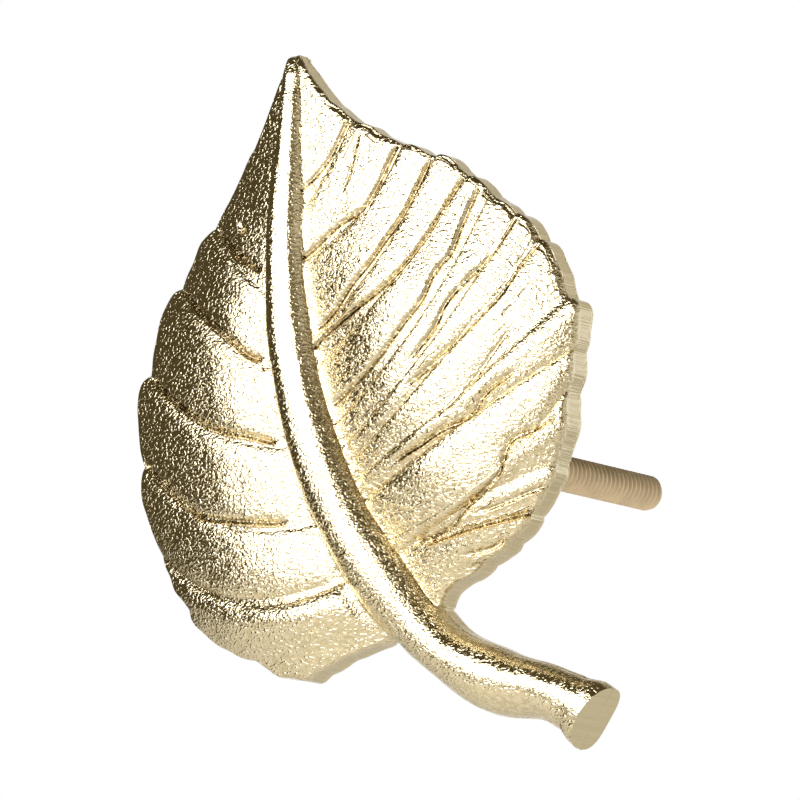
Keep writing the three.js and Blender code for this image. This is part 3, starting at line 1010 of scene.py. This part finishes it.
    def rib_back(self, away: Array, along: Array) -> Array:
        """Depth of the stem's back, drawn in beyond its foot.

        Args:
            away: Distance of each point from the midrib's centre line.
            along: Distance along the midrib to each point.

        Returns:
            Depths in millimetres, back towards the door.
        """
        rib = self.midrib
        half, _, deep = rib.section(along)
        share = np.clip(np.abs(away) / half, 0, 1)
        neck = rib.neck_edge * smooth(along, *rib.neck_start) * smooth(along, *rib.neck_end)
        edge = rib.back_edge + neck
        hull = edge + (1 - edge) * (1 - share**rib.back_power) ** rib.back_bluntness
        beyond = np.clip(np.abs(away) - half, 0, None)
        return rib.level(along) + deep * hull - self.foot_slope * beyond

    def blade_front(self, half: BladeHalf, plan: Array, distance: Array, away: Array) -> Array:
        """Depth of the blade's front face.

        Args:
            half: The half of the blade.
            plan: Its rows in plan.
            distance: Where each row leaves the midrib.
            away: Distance of each point from the midrib's centre line.

        Returns:
            Depths in millimetres from the crown's level, back towards the door.
        """
        height = self.swell_height * half.swell(distance)[:, None]
        proud = smooth(away, 0, self.relief_fade) * height
        cut = np.zeros(plan.shape[:2])
        for crease in half.creases:
            groove = crease.groove(plan)
            cut = np.maximum(cut, groove) + np.minimum(0, groove)
        seed = self.bump_seed + half.side.value
        uneven = self.broad_height * unevenness(plan, self.broad_size, seed)
        uneven = uneven + self.fine_height * unevenness(plan, self.fine_size, seed + 5)
        fringe = from_rim(plan)
        clear = smooth(fringe, *self.creases_from_rim) * smooth(away, *self.creases_from_foot)
        if half.side is Side.LEFT:
            roll = self.left_roll * (1 - np.exp(-fringe / self.left_roll_reach))
            proud = proud + roll * smooth(away, *self.left_roll_span)
        else:
            lower = smooth(plan[..., 1], *self.rougher_below)
            uneven = uneven * (1 + self.rougher_share * lower)
            wear = unevenness(plan, self.worn_size, self.worn_seed)
            rough = np.clip(self.worn_rim + self.worn_spread * wear, 0, None)
            upper = smooth(plan[..., 1], *self.worn_upwards)
            cut = cut + self.rim_ease * rough * upper * smooth(fringe, self.worn_fringe, 0)
        uneven = uneven * smooth(fringe, *self.bumps_from_rim)
        return self.midrib.fall_back(plan) - proud + cut * clear + uneven

    def rim_drop(self, plan: Array, distance: Array, radius: float) -> Array:
        """How far the rounded rim falls back at each point.

        Args:
            plan: Rows in plan.
            distance: Where each row leaves the midrib.
            radius: Radius of the rim's edge.

        Returns:
            Lengths in millimetres.
        """
        inset = np.minimum(from_rim(plan), distance[:, None] + self.tip_inset)
        tip = smooth(distance, *self.tip_span)[:, None]
        size = radius + (self.tip_round - radius) * tip
        short = np.clip(size - inset, 0, None)
        return size - np.sqrt(size * size - short * short)

    def closing(self, distance: Array, end: Array | float) -> Array:
        """How far each face of the blade closes in where a half of it ends."""
        return self.end_slope * np.clip(distance - end + self.end_run, 0, None)

    def half_surface(self, half: BladeHalf, distance: Array) -> Array:
        """One half of the blade.

        Args:
            half: The half of the blade.
            distance: Where each row leaves the midrib.

        Returns:
            Its rows, with the values that the skin takes.
        """
        plan = self.half_rows(half, distance)
        away, along = self.midrib.nearest(plan)
        gone = self.closing(distance, half.end)[:, None]
        blade = self.blade_front(half, plan, distance, away) + gone
        front = soft_least(self.rib_front(away, along), blade, self.foot_fillet)
        front = front + self.rim_drop(plan, distance, self.rim_round)
        back = self.midrib.fall_back(plan) + DRAWING.thickness - gone
        back = soft_most(self.rib_back(away, along), back, self.back_fillet)
        back = back - self.rim_drop(plan, distance, self.back_round)
        bend = self.dome(plan)
        if half.side is Side.LEFT:
            bend = bend * (1 - self.left_dome_loss * smooth(away, *self.left_dome_span))
            bend = bend + self.lean(plan, away, along)
        else:
            rise = self.trough(plan, away)
            bend = bend - rise
            back = back + rise * self.beside_post(plan, bend)
        layers = [front, back, bend, *self.vein_marks(half, plan), np.zeros(away.shape)]
        return np.concatenate([plan, np.stack(layers, axis=-1)], axis=-1)

    def crown_surface(self, distance: Array) -> Array:
        """The midrib and stem.

        Args:
            distance: Distance of each row from the tip.

        Returns:
            Their rows, with the values that the skin takes.
        """
        plan, aside = self.crown_rows(distance)
        rows = np.broadcast_to(distance[:, None], aside.shape)
        ends = np.where(aside < 0, self.left.end, self.right.end)
        gone = self.closing(rows, ends)
        floor = self.midrib.fall_back(plan)
        front = soft_least(self.rib_front(aside, rows), floor + gone, self.foot_fillet)
        inset = np.clip(self.tip_round - distance - self.tip_inset, 0, None)[:, None]
        front = front + self.tip_round - np.sqrt(self.tip_round**2 - inset**2)
        back = floor + DRAWING.thickness - gone
        back = soft_most(self.rib_back(aside, rows), back, self.back_fillet)
        worn = 1 - (aside / self.midrib.section(rows)[0]) ** 4
        upper = 1 - self.lower_wear_loss * smooth(rows, *self.upper_wear_end)
        worn = worn * upper + self.stem_wear * smooth(rows, *self.stem_wear_start)
        plain = np.zeros(aside.shape)
        layers = [front, back, self.dome(plan), plain, plain, worn]
        return np.concatenate([plan, np.stack(layers, axis=-1)], axis=-1)

    def vein_marks(self, half: BladeHalf, plan: Array) -> tuple[Array, Array]:
        """Distance to the nearest crease and how bold it is there, for the finish's bump, painted
        shade and painted reflection.

        Args:
            half: The half of the blade.
            plan: Its rows in plan.

        Returns:
            Distance in millimetres, more than nothing above the crease, and boldness.
        """
        gap = np.full(plan.shape[:2], 2.0)
        bold = np.zeros(plan.shape[:2])
        for crease in half.creases:
            distance, begun = crease.frame(plan)
            nearer = np.abs(distance) < np.abs(gap)
            gap = np.where(nearer, distance, gap)
            bold = np.where(nearer, begun * crease.depth / self.bold_depth, bold)
        bold = bold * smooth(np.abs(gap), *self.bold_reach)
        # Worn spots along the upper right rim take the crease's groove in the bump and its line of
        # painted shade.
        if half.side is Side.RIGHT:
            fringe, height = from_rim(plan), plan[..., 1]
            wear = unevenness(plan, self.worn_size, self.worn_seed)
            rough = np.clip(self.rim_notch_shade_base + self.worn_spread * wear, 0, self.rim_notch_shade_most)
            edge = (fringe < self.rim_notch_shade_fringe) & (height > self.rim_notch_shade_from[0])
            edge = edge & (np.abs(gap) > fringe)
            gap = np.where(edge, self.shade_line_gap + (fringe - self.shade_line_fringe), gap)
            upper = smooth(height, *self.rim_notch_shade_from) * smooth(height, *self.rim_notch_shade_to)
            bold = np.where(edge, rough * upper, bold)
        return gap, bold

    def skin(self, left: Array, crown: Array, right: Array) -> Piece:
        """Skin the rings of the loft as one closed mesh.

        Each array holds, for every point, its plan x and z, its front and back depth,
        how far it bends back, its distance to a crease, how bold that is, and how far the
        grain is worn away.

        Args:
            left: The left half's rows, from the foot outwards.
            crown: The rows over the midrib, from left to right.
            right: The right half's rows, from the foot outwards.

        Returns:
            The closed mesh.
        """
        inner = np.linspace(0, self.half_columns, self.back_columns + 1).astype(int)[:-1]
        count = left.shape[1]
        keep = np.concatenate([inner, count - np.array(self.back_rim_columns)])
        steps = np.array(self.wall_steps)
        front, back, wall_mark = 2, 3, 6

        def face(rows: Array, side: int) -> Array:
            """Points of the front or of the back, which has no creases.

            Args:
                rows: Rows with the values of the loft.
                side: The front or the back.

            Returns:
                Rows with the values of the ring.
            """
            points = np.insert(rows[..., [0, side, 1, 4, 5, 6, 7]], wall_mark, 0.0, axis=-1)
            points[..., 5] *= side == front
            return points

        def wall(rows: Array) -> Array:
            """Points of the wall, from the front edge to the back edge.

            Args:
                rows: Rows with the values of the loft.

            Returns:
                Rows with the values of the ring.
            """
            points = np.repeat(face(rows[:, -1:], front), len(steps), axis=1)
            points[..., 1] += (rows[:, -1:, back] - rows[:, -1:, front]) * steps
            points[..., 4:] = 2, 0, 1, 0
            return points

        ring = np.concatenate([
            face(left[:, ::-1], front), face(crown, front), face(right, front), wall(right),
            face(right[:, keep][:, ::-1], back), face(crown[:, ::-2], back),
            face(left[:, keep], back), wall(left)[:, ::-1], face(left[:, -1:], front),
        ], axis=1)
        ring[-1, :, wall_mark] = self.end_marks
        bend = ring[..., 3]
        points = np.stack([
            ring[..., 0] - self.sight_aside * bend,
            ring[..., 1] + bend + DRAWING.crown_y,
            ring[..., 2] + self.sight_up * bend,
        ], axis=-1)
        marks = dict(zip(("vein_gap", "vein_bold", "rim_wall", "worn"), ring.T[4:]))
        return self.sheet(points, marks)

    @staticmethod
    def sheet(points: Array, marks: dict[str, Array]) -> Piece:
        """Shape a grid into a tube through rings of points, and close its ends.

        Args:
            points: Places in millimetres, rings by columns by three.
            marks: Values that the finish reads, by name, as columns by rings.

        Returns:
            The closed mesh.
        """
        bpy.ops.object.select_all(action="DESELECT")
        bpy.ops.mesh.primitive_grid_add(
            x_subdivisions=points.shape[1] - 1, y_subdivisions=points.shape[0] - 1,
            size=DRAWING.height * MM)
        piece = bpy.context.object
        piece.name = "leaf"
        piece.data.vertices.foreach_set("co", (points.reshape(-1) * MM).astype(np.float32))
        piece.data.update()
        for name, mark in marks.items():
            layer = piece.data.attributes.new(name, "FLOAT", "POINT")
            layer.data.foreach_set("value", mark.T.reshape(-1).astype(np.float32))
        bpy.ops.object.mode_set(mode="EDIT")
        bpy.ops.mesh.select_all(action="SELECT")
        bpy.ops.mesh.remove_doubles(threshold=SEAM_WELD)
        bpy.ops.mesh.select_all(action="DESELECT")
        bpy.ops.mesh.select_mode(type="EDGE")
        bpy.ops.mesh.select_non_manifold(
            extend=False, use_wire=False, use_boundary=True, use_multi_face=False,
            use_non_contiguous=False, use_verts=False)
        bpy.ops.mesh.edge_face_add()
        bpy.ops.mesh.select_mode(type="FACE")
        bpy.ops.mesh.poke()
        end_piece()
        return piece

    def post(self) -> Piece:
        """The round post, with a hollow fillet where it meets the blade.

        Returns:
            A closed mesh.
        """
        back = -self.post_length
        wide = self.post_radius + self.post_flare
        root = back - self.post_root
        profile = [(0.0, root), (wide, root), (wide, back - self.post_land)]
        for turn in np.linspace(0, math.pi / 2, self.flare_steps):
            radius = self.post_radius + self.post_flare * (1 - math.sin(turn))
            profile.append((radius, back + self.post_flare * (1 - math.cos(turn))))
        for turn in np.linspace(0, math.pi / 2, self.bevel_steps):
            radius = self.post_radius - self.post_bevel * (1 - math.cos(turn))
            profile.append((radius, -self.post_bevel * (1 - math.sin(turn))))
        return turned("post", [*profile, (0.0, 0.0)], self.post_sides)

    def hole(self) -> Piece:
        """The bore for the stud, with a small chamfer at its mouth.

        Returns:
            A closed mesh.
        """
        radius, bottom, mouth = self.hole_radius, -self.hole_depth, 1.0
        wide = radius + self.hole_bevel
        profile = [(0.0, bottom - radius / 2), (radius, bottom), (radius, -self.hole_bevel),
                   (wide, 0.0), (wide, mouth), (0.0, mouth)]
        return turned("bore", profile, self.hole_sides)


@dataclass
class ThreadedStud:
    """The steel stud with its helical thread."""

    radius: float = 2.0
    root_depth: float = 0.3
    pitch: float = 0.77
    flank: Span = (0.1, 0.9)
    reach: float = 28.0
    grip: float = 12.0
    end_round: float = 0.7
    sides: int = 56
    steps_per_turn: int = 16
    smooth_angle: float = 40.0

    def rings(self) -> Array:
        """Points of the thread's surface.

        Returns:
            Places in metres, ring by ring along the stud.
        """
        count = int((self.reach + self.grip) / self.pitch * self.steps_per_turn)
        along = np.linspace(-self.grip, self.reach, count + 1)
        turn = np.arange(self.sides) / self.sides * math.tau
        phase = (along[:, None] / self.pitch - turn[None] / math.tau) % 1.0
        ridge = np.clip(np.abs(phase - 0.5) * 2, 0, 1)
        radius = self.radius - self.root_depth * smooth(ridge, *self.flank)
        room = np.minimum(self.reach - along, along + self.grip)
        short = np.clip(self.end_round - room, 0, self.end_round)
        limit = self.radius - self.end_round * (1 - np.sqrt(1 - (short / self.end_round) ** 2))
        radius = np.minimum(radius, limit[:, None])
        y = np.broadcast_to(along[:, None], radius.shape)
        return np.stack([radius * np.cos(turn), y, radius * np.sin(turn)], axis=-1) * MM

    def build(self) -> Piece:
        """Build the stud.

        Returns:
            One closed mesh.
        """
        piece, shape = start_piece("stud")
        grid = [[shape.verts.new(point) for point in ring] for ring in self.rings()]
        for upper, lower in zip(grid, grid[1:]):
            for column in range(self.sides):
                beside = (column + 1) % self.sides
                shape.faces.new((upper[column], upper[beside], lower[beside], lower[column]))
        shape.faces.new(grid[0])
        shape.faces.new(grid[-1])
        bmesh.update_edit_mesh(piece.data)
        end_piece()
        smooth_shading(piece, self.smooth_angle)
        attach(piece, "root")
        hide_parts("threaded_stud")
        return piece


def arithmetic(operation: str, backwards: bool = False) -> Callable[["Value", object], "Value"]:
    """Make a method that works out a number from a value and another value or plain number.

    Args:
        operation: The node's operation.
        backwards: Whether the other number comes first.

    Returns:
        The method.
    """

    def work_out(value: "Value", other: object) -> "Value":
        """Add the node, and take its result."""
        pair = (other, value) if backwards else (value, other)
        return value.bench.math(operation, *pair)

    return work_out


class Value:
    """A number or colour of a node tree, which formulas can be written with."""

    __add__ = arithmetic("ADD")
    __sub__ = arithmetic("SUBTRACT")
    __rsub__ = arithmetic("SUBTRACT", backwards=True)
    __mul__ = arithmetic("MULTIPLY")
    __truediv__ = arithmetic("DIVIDE")
    __rtruediv__ = arithmetic("DIVIDE", backwards=True)

    def __init__(self, bench: "NodeBench", socket: bpy.types.NodeSocket) -> None:
        """Keep the bench and the socket that gives the value."""
        self.bench = bench
        self.socket = socket

    def span(self, low: float, high: float) -> "Value":
        """A smooth step of the number, from 0 at low to 1 at high."""
        return self.bench.out("ShaderNodeMapRange", "Result", interpolation_type="SMOOTHSTEP",
                              Value=self, From_Min=low, From_Max=high)

    def bell(self, place: float, width: float) -> "Value":
        """A smooth bump of the number round a place.

        Args:
            place: Where the bump is 1.
            width: How far from there it has fallen to 0.37.

        Returns:
            The bump's height.
        """
        group = bpy.data.node_groups.get("bell") or bell_group()
        return self.bench.out("ShaderNodeGroup", "Bell", node_tree=group, Value=self,
                              Place=place, Width=width)


class NodeBench:
    """Adds and joins the nodes of one material, world or group."""

    def __init__(self, tree: bpy.types.NodeTree) -> None:
        """Take the tree that is worked on."""
        self.tree = tree

    def feed(self, into: bpy.types.NodeSocket, value: object) -> None:
        """Give an input what it takes.

        Args:
            into: The input.
            value: A value, which is linked, or a number, place or colour.
        """
        if isinstance(value, Value):
            self.tree.links.new(value.socket, into)
        elif into.type == "RGBA":
            into.default_value = (*value, 1.0)
        else:
            into.default_value = value

    def add(self, kind: str, **settings: object) -> bpy.types.Node:
        """Add a node with its settings.

        Args:
            kind: The node's type name.
            settings: Attributes of the node, or its inputs where no attribute fits.

        Returns:
            The new node.
        """
        node = self.tree.nodes.new(kind)
        for name, value in settings.items():
            if hasattr(node, name):
                setattr(node, name, value)
            else:
                self.feed(node.inputs[name.replace("_", " ")], value)
        return node

    def out(self, kind: str, output: str, **settings: object) -> Value:
        """Add a node with its settings, and take one of its outputs."""
        return Value(self, self.add(kind, **settings).outputs[output])

    def math(self, operation: str, first: object, second: object) -> Value:
        """Work out one number from two.

        Args:
            operation: The node's operation.
            first: A value or a plain number.
            second: A value or a plain number.

        Returns:
            The result.
        """
        node = self.add("ShaderNodeMath", operation=operation)
        for into, value in zip(node.inputs, (first, second)):
            self.feed(into, value)
        return Value(self, node.outputs[0])

    def layers(self, ground: Colour, *coats: tuple[Value, object]) -> Value:
        """Lay colours over one another.

        Args:
            ground: The lowest colour.
            coats: Pairs of a coat's share and its colour, a value or a plain colour.

        Returns:
            The colour that is seen.
        """
        seen = ground
        for share, coat in coats:
            node = self.add("ShaderNodeMix", data_type="RGBA")
            colours = [socket for socket in node.inputs if socket.type == "RGBA"]
            for into, value in zip((node.inputs[0], *colours), (share, seen, coat)):
                self.feed(into, value)
            seen = Value(self, next(out for out in node.outputs if out.type == "RGBA"))
        return seen


def start_group(name: str, takes: dict[str, str], gives: str) -> tuple[NodeBench, list[Value]]:
    """Start a node group that works out one number.

    Args:
        name: Name of the group.
        takes: Names of its inputs, each with the kind of its socket.
        gives: Name of its output.

    Returns:
        The group's bench and its inputs, in the given order.
    """
    tree = bpy.data.node_groups.new(name, "ShaderNodeTree")
    for title, kind in takes.items():
        tree.interface.new_socket(title, in_out="INPUT", socket_type=f"NodeSocket{kind}")
    tree.interface.new_socket(gives, in_out="OUTPUT", socket_type="NodeSocketFloat")
    bench = NodeBench(tree)
    given = bench.add("NodeGroupInput")
    return bench, [Value(bench, given.outputs[title]) for title in takes]


def bell_group() -> bpy.types.NodeTree:
    """Node group: a smooth bump of one value round a place, 1 at its top.

    Returns:
        The group.
    """
    takes = {"Value": "Float", "Place": "Float", "Width": "Float"}
    bench, (value, place, width) = start_group("bell", takes, "Bell")
    share = (value - place) / width
    bench.add("NodeGroupOutput", Bell=bench.math("EXPONENT", share * share * -1.0, 0.0))
    return bench.tree


def grain_group() -> bpy.types.NodeTree:
    """Node group: the height of a sand casting's grain under its plating.

    Returns:
        The group.
    """
    takes = {"Place": "Vector", "Size": "Float"}
    bench, (place, size) = start_group("cast_grain", takes, "Height")

    def speckle(cells: float, **settings: float) -> Value:
        """Noise with a number of cells to one grain size."""
        return bench.out("ShaderNodeTexNoise", "Fac", Vector=place, Scale=cells / size, **settings)

    fine = speckle(1.0, Detail=1.5, Roughness=0.6)
    coarse = speckle(0.45, Detail=1.0, Roughness=0.5, Distortion=0.4)
    spots = speckle(0.83, Detail=0.5, Distortion=0.2).span(0.5, 0.7)
    bench.add("NodeGroupOutput", Height=fine * 0.68 + coarse * 0.52 + spots * 0.42)
    return bench.tree


def start_material(name: str, **settings: object) -> tuple[bpy.types.Material, NodeBench]:
    """Start a material.

    Args:
        name: Name of the material.
        settings: Inputs of its shader.

    Returns:
        The material and its bench.
    """
    material = bpy.data.materials.new(name)
    material.use_nodes = True
    bench = NodeBench(material.node_tree)
    for title, value in settings.items():
        bench.feed(shader_of(material).inputs[title.replace("_", " ")], value)
    return material, bench


def shader_of(material: bpy.types.Material) -> bpy.types.Node:
    """The shader of a material."""
    return material.node_tree.nodes["Principled BSDF"]


@dataclass(frozen=True)
class CastGold:
    """Pale gold plating over the grain of a sand casting.

    The ridge and the groove along a crease are in the bump, the glow is a painted ochre reflection
    along its lip, and the shade line is painted shade along its groove; the grain's low spots carry
    painted shade too. Each has a place and a width, in millimetres across the crease.
    """

    colour: Colour = (0.88, 0.775, 0.55)
    ochre_reflection_colour: Colour = (0.72, 0.49, 0.20)
    painted_shade_colour: Colour = (0.36, 0.28, 0.14)
    pit_shade_colour: Colour = (0.6, 0.49, 0.28)
    wall_colour: Colour = (0.56, 0.48, 0.3)
    roughness: float = 0.08
    grain_size: float = 0.00026
    grain_height: float = 0.00012
    grain_stretch: tuple[float, float, float] = (0.64, 1.0, 1.0)
    file_scale: tuple[float, float, float] = (4600.0, 120.0, 4600.0)
    wear: float = 0.55
    pit_shade_span: Span = (0.8, 0.45)
    pit_shade_strength: float = 0.6
    speckle_span: Span = (0.95, 0.5)
    ridge: Span = (0.0, 0.13)
    ridge_height: float = 0.4
    groove: Span = (0.42, 0.24)
    groove_depth: float = 1.9
    glow: Span = (-0.05, 0.12)
    ochre_reflection_share: float = 0.6
    shade_line: Span = (0.38, 0.22)
    shade_line_gain: float = 1.1
    shade_line_most: float = 0.95
    file_depth: float = 0.9

    def make(self) -> bpy.types.Material:
        """Make the finish.

        Returns:
            Its material.
        """
        material, bench = start_material("cast_gold", Metallic=1.0, Roughness=self.roughness)
        place = bench.out("ShaderNodeTexCoord", "Object")
        gap, bold, wall, worn = (
            bench.out("ShaderNodeAttribute", "Fac", attribute_name=name)
            for name in ("vein_gap", "vein_bold", "rim_wall", "worn")
        )
        spread = bench.out("ShaderNodeMapping", "Vector", Scale=self.grain_stretch, Vector=place)
        grain = bench.out("ShaderNodeGroup", "Height", node_tree=grain_group(),
                          Size=self.grain_size, Place=spread)
        left = bench.math("MAXIMUM", 1.0 - worn * self.wear - wall, 0.0)
        file_marks = self.file_marks(bench, place) * wall
        groove = gap.bell(*self.groove) * self.groove_depth
        relief = (gap.bell(*self.ridge) * self.ridge_height - groove) * bold
        normal = bench.out("ShaderNodeBump", "Normal", Strength=1.0, Distance=self.grain_height,
                           Height=grain * left + file_marks + relief)
        bench.feed(shader_of(material).inputs["Normal"], normal)
        # Painted shade: darker in the grain's low spots, except on the rim's wall.
        pit_shade = grain.span(*self.pit_shade_span) * self.pit_shade_strength
        # Painted shade: a dark line along the bottom of each crease and in the upper right rim's
        # worn notches, speckled where the grain is low.
        shade_line = bench.math("MINIMUM", gap.bell(*self.shade_line) * bold * self.shade_line_gain, self.shade_line_most)
        # Painted reflection: an ochre tint along each crease's lip.
        glow = gap.bell(*self.glow) * bold * self.ochre_reflection_share
        tint = bench.layers(
            self.colour,
            (pit_shade - wall, self.pit_shade_colour),
            (shade_line * grain.span(*self.speckle_span), self.painted_shade_colour),
            (glow, self.ochre_reflection_colour),
            (file_marks, self.wall_colour),
        )
        bench.feed(shader_of(material).inputs["Base Color"], tint)
        return material

    def file_marks(self, bench: NodeBench, place: Value) -> Value:
        """Fine lines across the rim's wall, left by its finishing.

        Args:
            bench: Where the nodes are added.
            place: Place on the piece.

        Returns:
            Their height, against the grain's.
        """
        stretch = bench.out("ShaderNodeMapping", "Vector", Scale=self.file_scale, Vector=place)
        lines = bench.out("ShaderNodeTexNoise", "Fac", Scale=1.0, Detail=2.0, Roughness=0.5,
                          Vector=stretch)
        return lines * self.file_depth


@dataclass(frozen=True)
class PlatedSteel:
    """Dull brassy plating on the stud."""

    colour: Colour = (0.86, 0.72, 0.52)
    roughness: float = 0.6
    tarnish: float = 0.88
    cloud_scale: float = 500.0
    cloud_span: Span = (0.35, 0.65)
    cloud_height: float = 0.00003

    def make(self) -> bpy.types.Material:
        """Make the finish.

        Returns:
            Its material.
        """
        material, bench = start_material("plated_steel", Metallic=1.0, Roughness=self.roughness)
        shader = shader_of(material)
        place = bench.out("ShaderNodeTexCoord", "Object")
        cloud = bench.out("ShaderNodeTexNoise", "Fac", Scale=self.cloud_scale, Detail=3.0,
                          Vector=place)
        darker = tuple(value * self.tarnish for value in self.colour)
        ramp = bench.add("ShaderNodeValToRGB", Fac=cloud)
        stops = zip(ramp.color_ramp.elements, self.cloud_span, (darker, self.colour))
        for element, position, colour in stops:
            element.position = position
            element.color = (*colour, 1.0)
        bench.feed(shader.inputs["Base Color"], Value(bench, ramp.outputs["Color"]))
        normal = bench.out("ShaderNodeBump", "Normal", Strength=0.6, Distance=self.cloud_height,
                           Height=cloud)
        bench.feed(shader.inputs["Normal"], normal)
        return material


@dataclass(frozen=True)
class PaleFloor:
    """The plain pale floor."""

    colour: Colour = (0.6, 0.58, 0.53)
    glow: float = 0.65

    def make(self) -> bpy.types.Material:
        """Make the material."""
        return start_material("pale_floor", Base_Color=self.colour, Roughness=0.9,
                              Emission_Color=self.colour, Emission_Strength=self.glow)[0]


@dataclass
class Studio:
    """Camera, lamp, backdrop light and floor.

    The scale is the photograph's, in pixels to the millimetre. The aim is where the
    picture's middle lies from the leaf's crown, in pixels. Azimuths are in degrees round
    the pull, 0 in front and 90 on its right, and elevations in degrees above it. The soft
    rectangular lamp's distance and size are in metres, and its power is in watts. The spans
    are where one colour of the surroundings passes into the next, in shares of a direction.
    """

    azimuth: float = 39.0
    elevation: float = -11.3
    distance: float = 0.6
    scale: float = 9.47
    picture_width: float = 800.0
    sensor_width: float = 36.0
    aim_right: float = 35.0
    aim_up: float = 27.0
    floor_drop: float = 0.30
    dim: Colour = (0.085, 0.07, 0.035)
    dim_right: Colour = (0.25, 0.215, 0.14)
    side: Colour = (0.66, 0.63, 0.55)
    rear_top: Colour = (0.6, 0.56, 0.46)
    low: Colour = (0.55, 0.52, 0.46)
    to_right: Span = (-0.6, 0.5)
    far_right: Span = (0.72, 0.9)
    far_left: Span = (-0.74, -0.92)
    far_left_drop: float = 0.16
    upwards: Span = (0.6, 0.75)
    downwards: Span = (0.03, -0.06)
    rear_upwards: Span = (0.2, 0.6)
    to_rear: Span = (0.4, 0.72)
    lamp_azimuth: float = -15.0
    lamp_elevation: float = 20.0
    lamp_distance: float = 1.0
    lamp_width: float = 1.24
    lamp_height: float = 0.74
    lamp_power: float = 11.5

    @staticmethod
    def direction(azimuth: float, elevation: float) -> Vector:
        """Direction from the pull.

        Args:
            azimuth: Degrees round the pull.
            elevation: Degrees above it.

        Returns:
            A direction of length 1.
        """
        turn, rise = math.radians(azimuth), math.radians(elevation)
        return Vector((math.cos(rise) * math.sin(turn), -math.cos(rise) * math.cos(turn),
                       math.sin(rise)))

    @staticmethod
    def aimed(name: str, data: bpy.types.ID, place: Vector, back: Vector) -> Piece:
        """Put a camera or lamp at a place, with its back to a direction.

        Args:
            name: Name of the object.
            data: The camera or lamp.
            place: Where it stands.
            back: The direction behind it.

        Returns:
            The object.
        """
        holder = bpy.data.objects.new(name, data)
        bpy.context.scene.collection.objects.link(holder)
        holder.location = place
        holder.rotation_euler = (-back).to_track_quat("-Z", "Y").to_euler()
        return holder

    def build(self) -> None:
        """Set up the camera, the lamp, the world and the floor."""
        self.camera()
        self.light()
        self.world()
        self.floor()
        bpy.context.scene.view_settings.view_transform = "Standard"

    def camera(self) -> None:
        """Camera at the photograph's viewing angle."""
        view = self.direction(self.azimuth, self.elevation)
        turn = math.radians(self.azimuth)
        right = Vector((math.cos(turn), math.sin(turn), 0))
        aim = Vector((0, DRAWING.crown_y, 0)) + right * (self.aim_right / self.scale)
        aim = aim + right.cross(-view) * (self.aim_up / self.scale)
        data = bpy.data.cameras.new("camera")
        data.sensor_width = self.sensor_width
        data.lens = self.scale / MM * self.distance / self.picture_width * self.sensor_width
        data.clip_start = 0.01
        place = aim * MM + view * self.distance
        bpy.context.scene.camera = self.aimed("camera", data, place, view)

    def light(self) -> None:
        """The soft lamp in front of the pull."""
        data = bpy.data.lights.new("key", "AREA")
        data.shape = "RECTANGLE"
        data.size = self.lamp_width
        data.size_y = self.lamp_height
        data.energy = self.lamp_power
        towards = self.direction(self.lamp_azimuth, self.lamp_elevation)
        self.aimed("key", data, towards * self.lamp_distance, towards)

    def world(self) -> None:
        """White behind the pull, and dim in what it reflects."""
        world = bpy.data.worlds.new("studio")
        bpy.context.scene.world = world
        world.use_nodes = True
        bench = NodeBench(world.node_tree)
        seen = bench.out("ShaderNodeLightPath", "Is Camera Ray")
        way = bench.out("ShaderNodeTexCoord", "Generated")
        parts = bench.add("ShaderNodeSeparateXYZ", Vector=way)
        sideways, back, up = (Value(bench, parts.outputs[axis]) for axis in "XYZ")
        low = up + sideways.span(*self.far_left) * self.far_left_drop
        rear = bench.layers(WHITE, (up.span(*self.rear_upwards), self.rear_top))
        shade = bench.layers(
            self.dim,
            (sideways.span(*self.to_right), self.dim_right),
            (sideways.span(*self.far_right), self.side),
            (up.span(*self.upwards), self.dim),
            (low.span(*self.downwards), self.low),
            (back.span(*self.to_rear), rear),
            (seen, WHITE),
        )
        bench.feed(world.node_tree.nodes["Background"].inputs["Color"], shade)

    def floor(self) -> None:
        """Plain pale floor well below the pull."""
        bpy.ops.object.select_all(action="DESELECT")
        bpy.ops.mesh.primitive_plane_add(size=3.0, location=(0, 0, -self.floor_drop))
        floor = bpy.context.object
        floor.name = "floor"
        floor.data.materials.append(PaleFloor().make())
        floor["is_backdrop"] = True


def main() -> list[list[float]]:
    """Build, dress and light the pull.

    Returns:
        The CAD model's box, lowest corner and then highest.
    """
    logging.basicConfig(level=logging.INFO, format="%(message)s")
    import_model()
    cad_box = [list(corner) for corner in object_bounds()]
    Studio().build()
    for sub_part, finish in ((LeafCasting(), CastGold()), (ThreadedStud(), PlatedSteel())):
        piece = sub_part.build()
        piece.data.materials.clear()
        piece.data.materials.append(finish.make())
        LOG.info("%s: %d faces", piece.name, len(piece.data.polygons))
    return cad_box


if __name__ == "__main__":
    CAD_BOX = main()
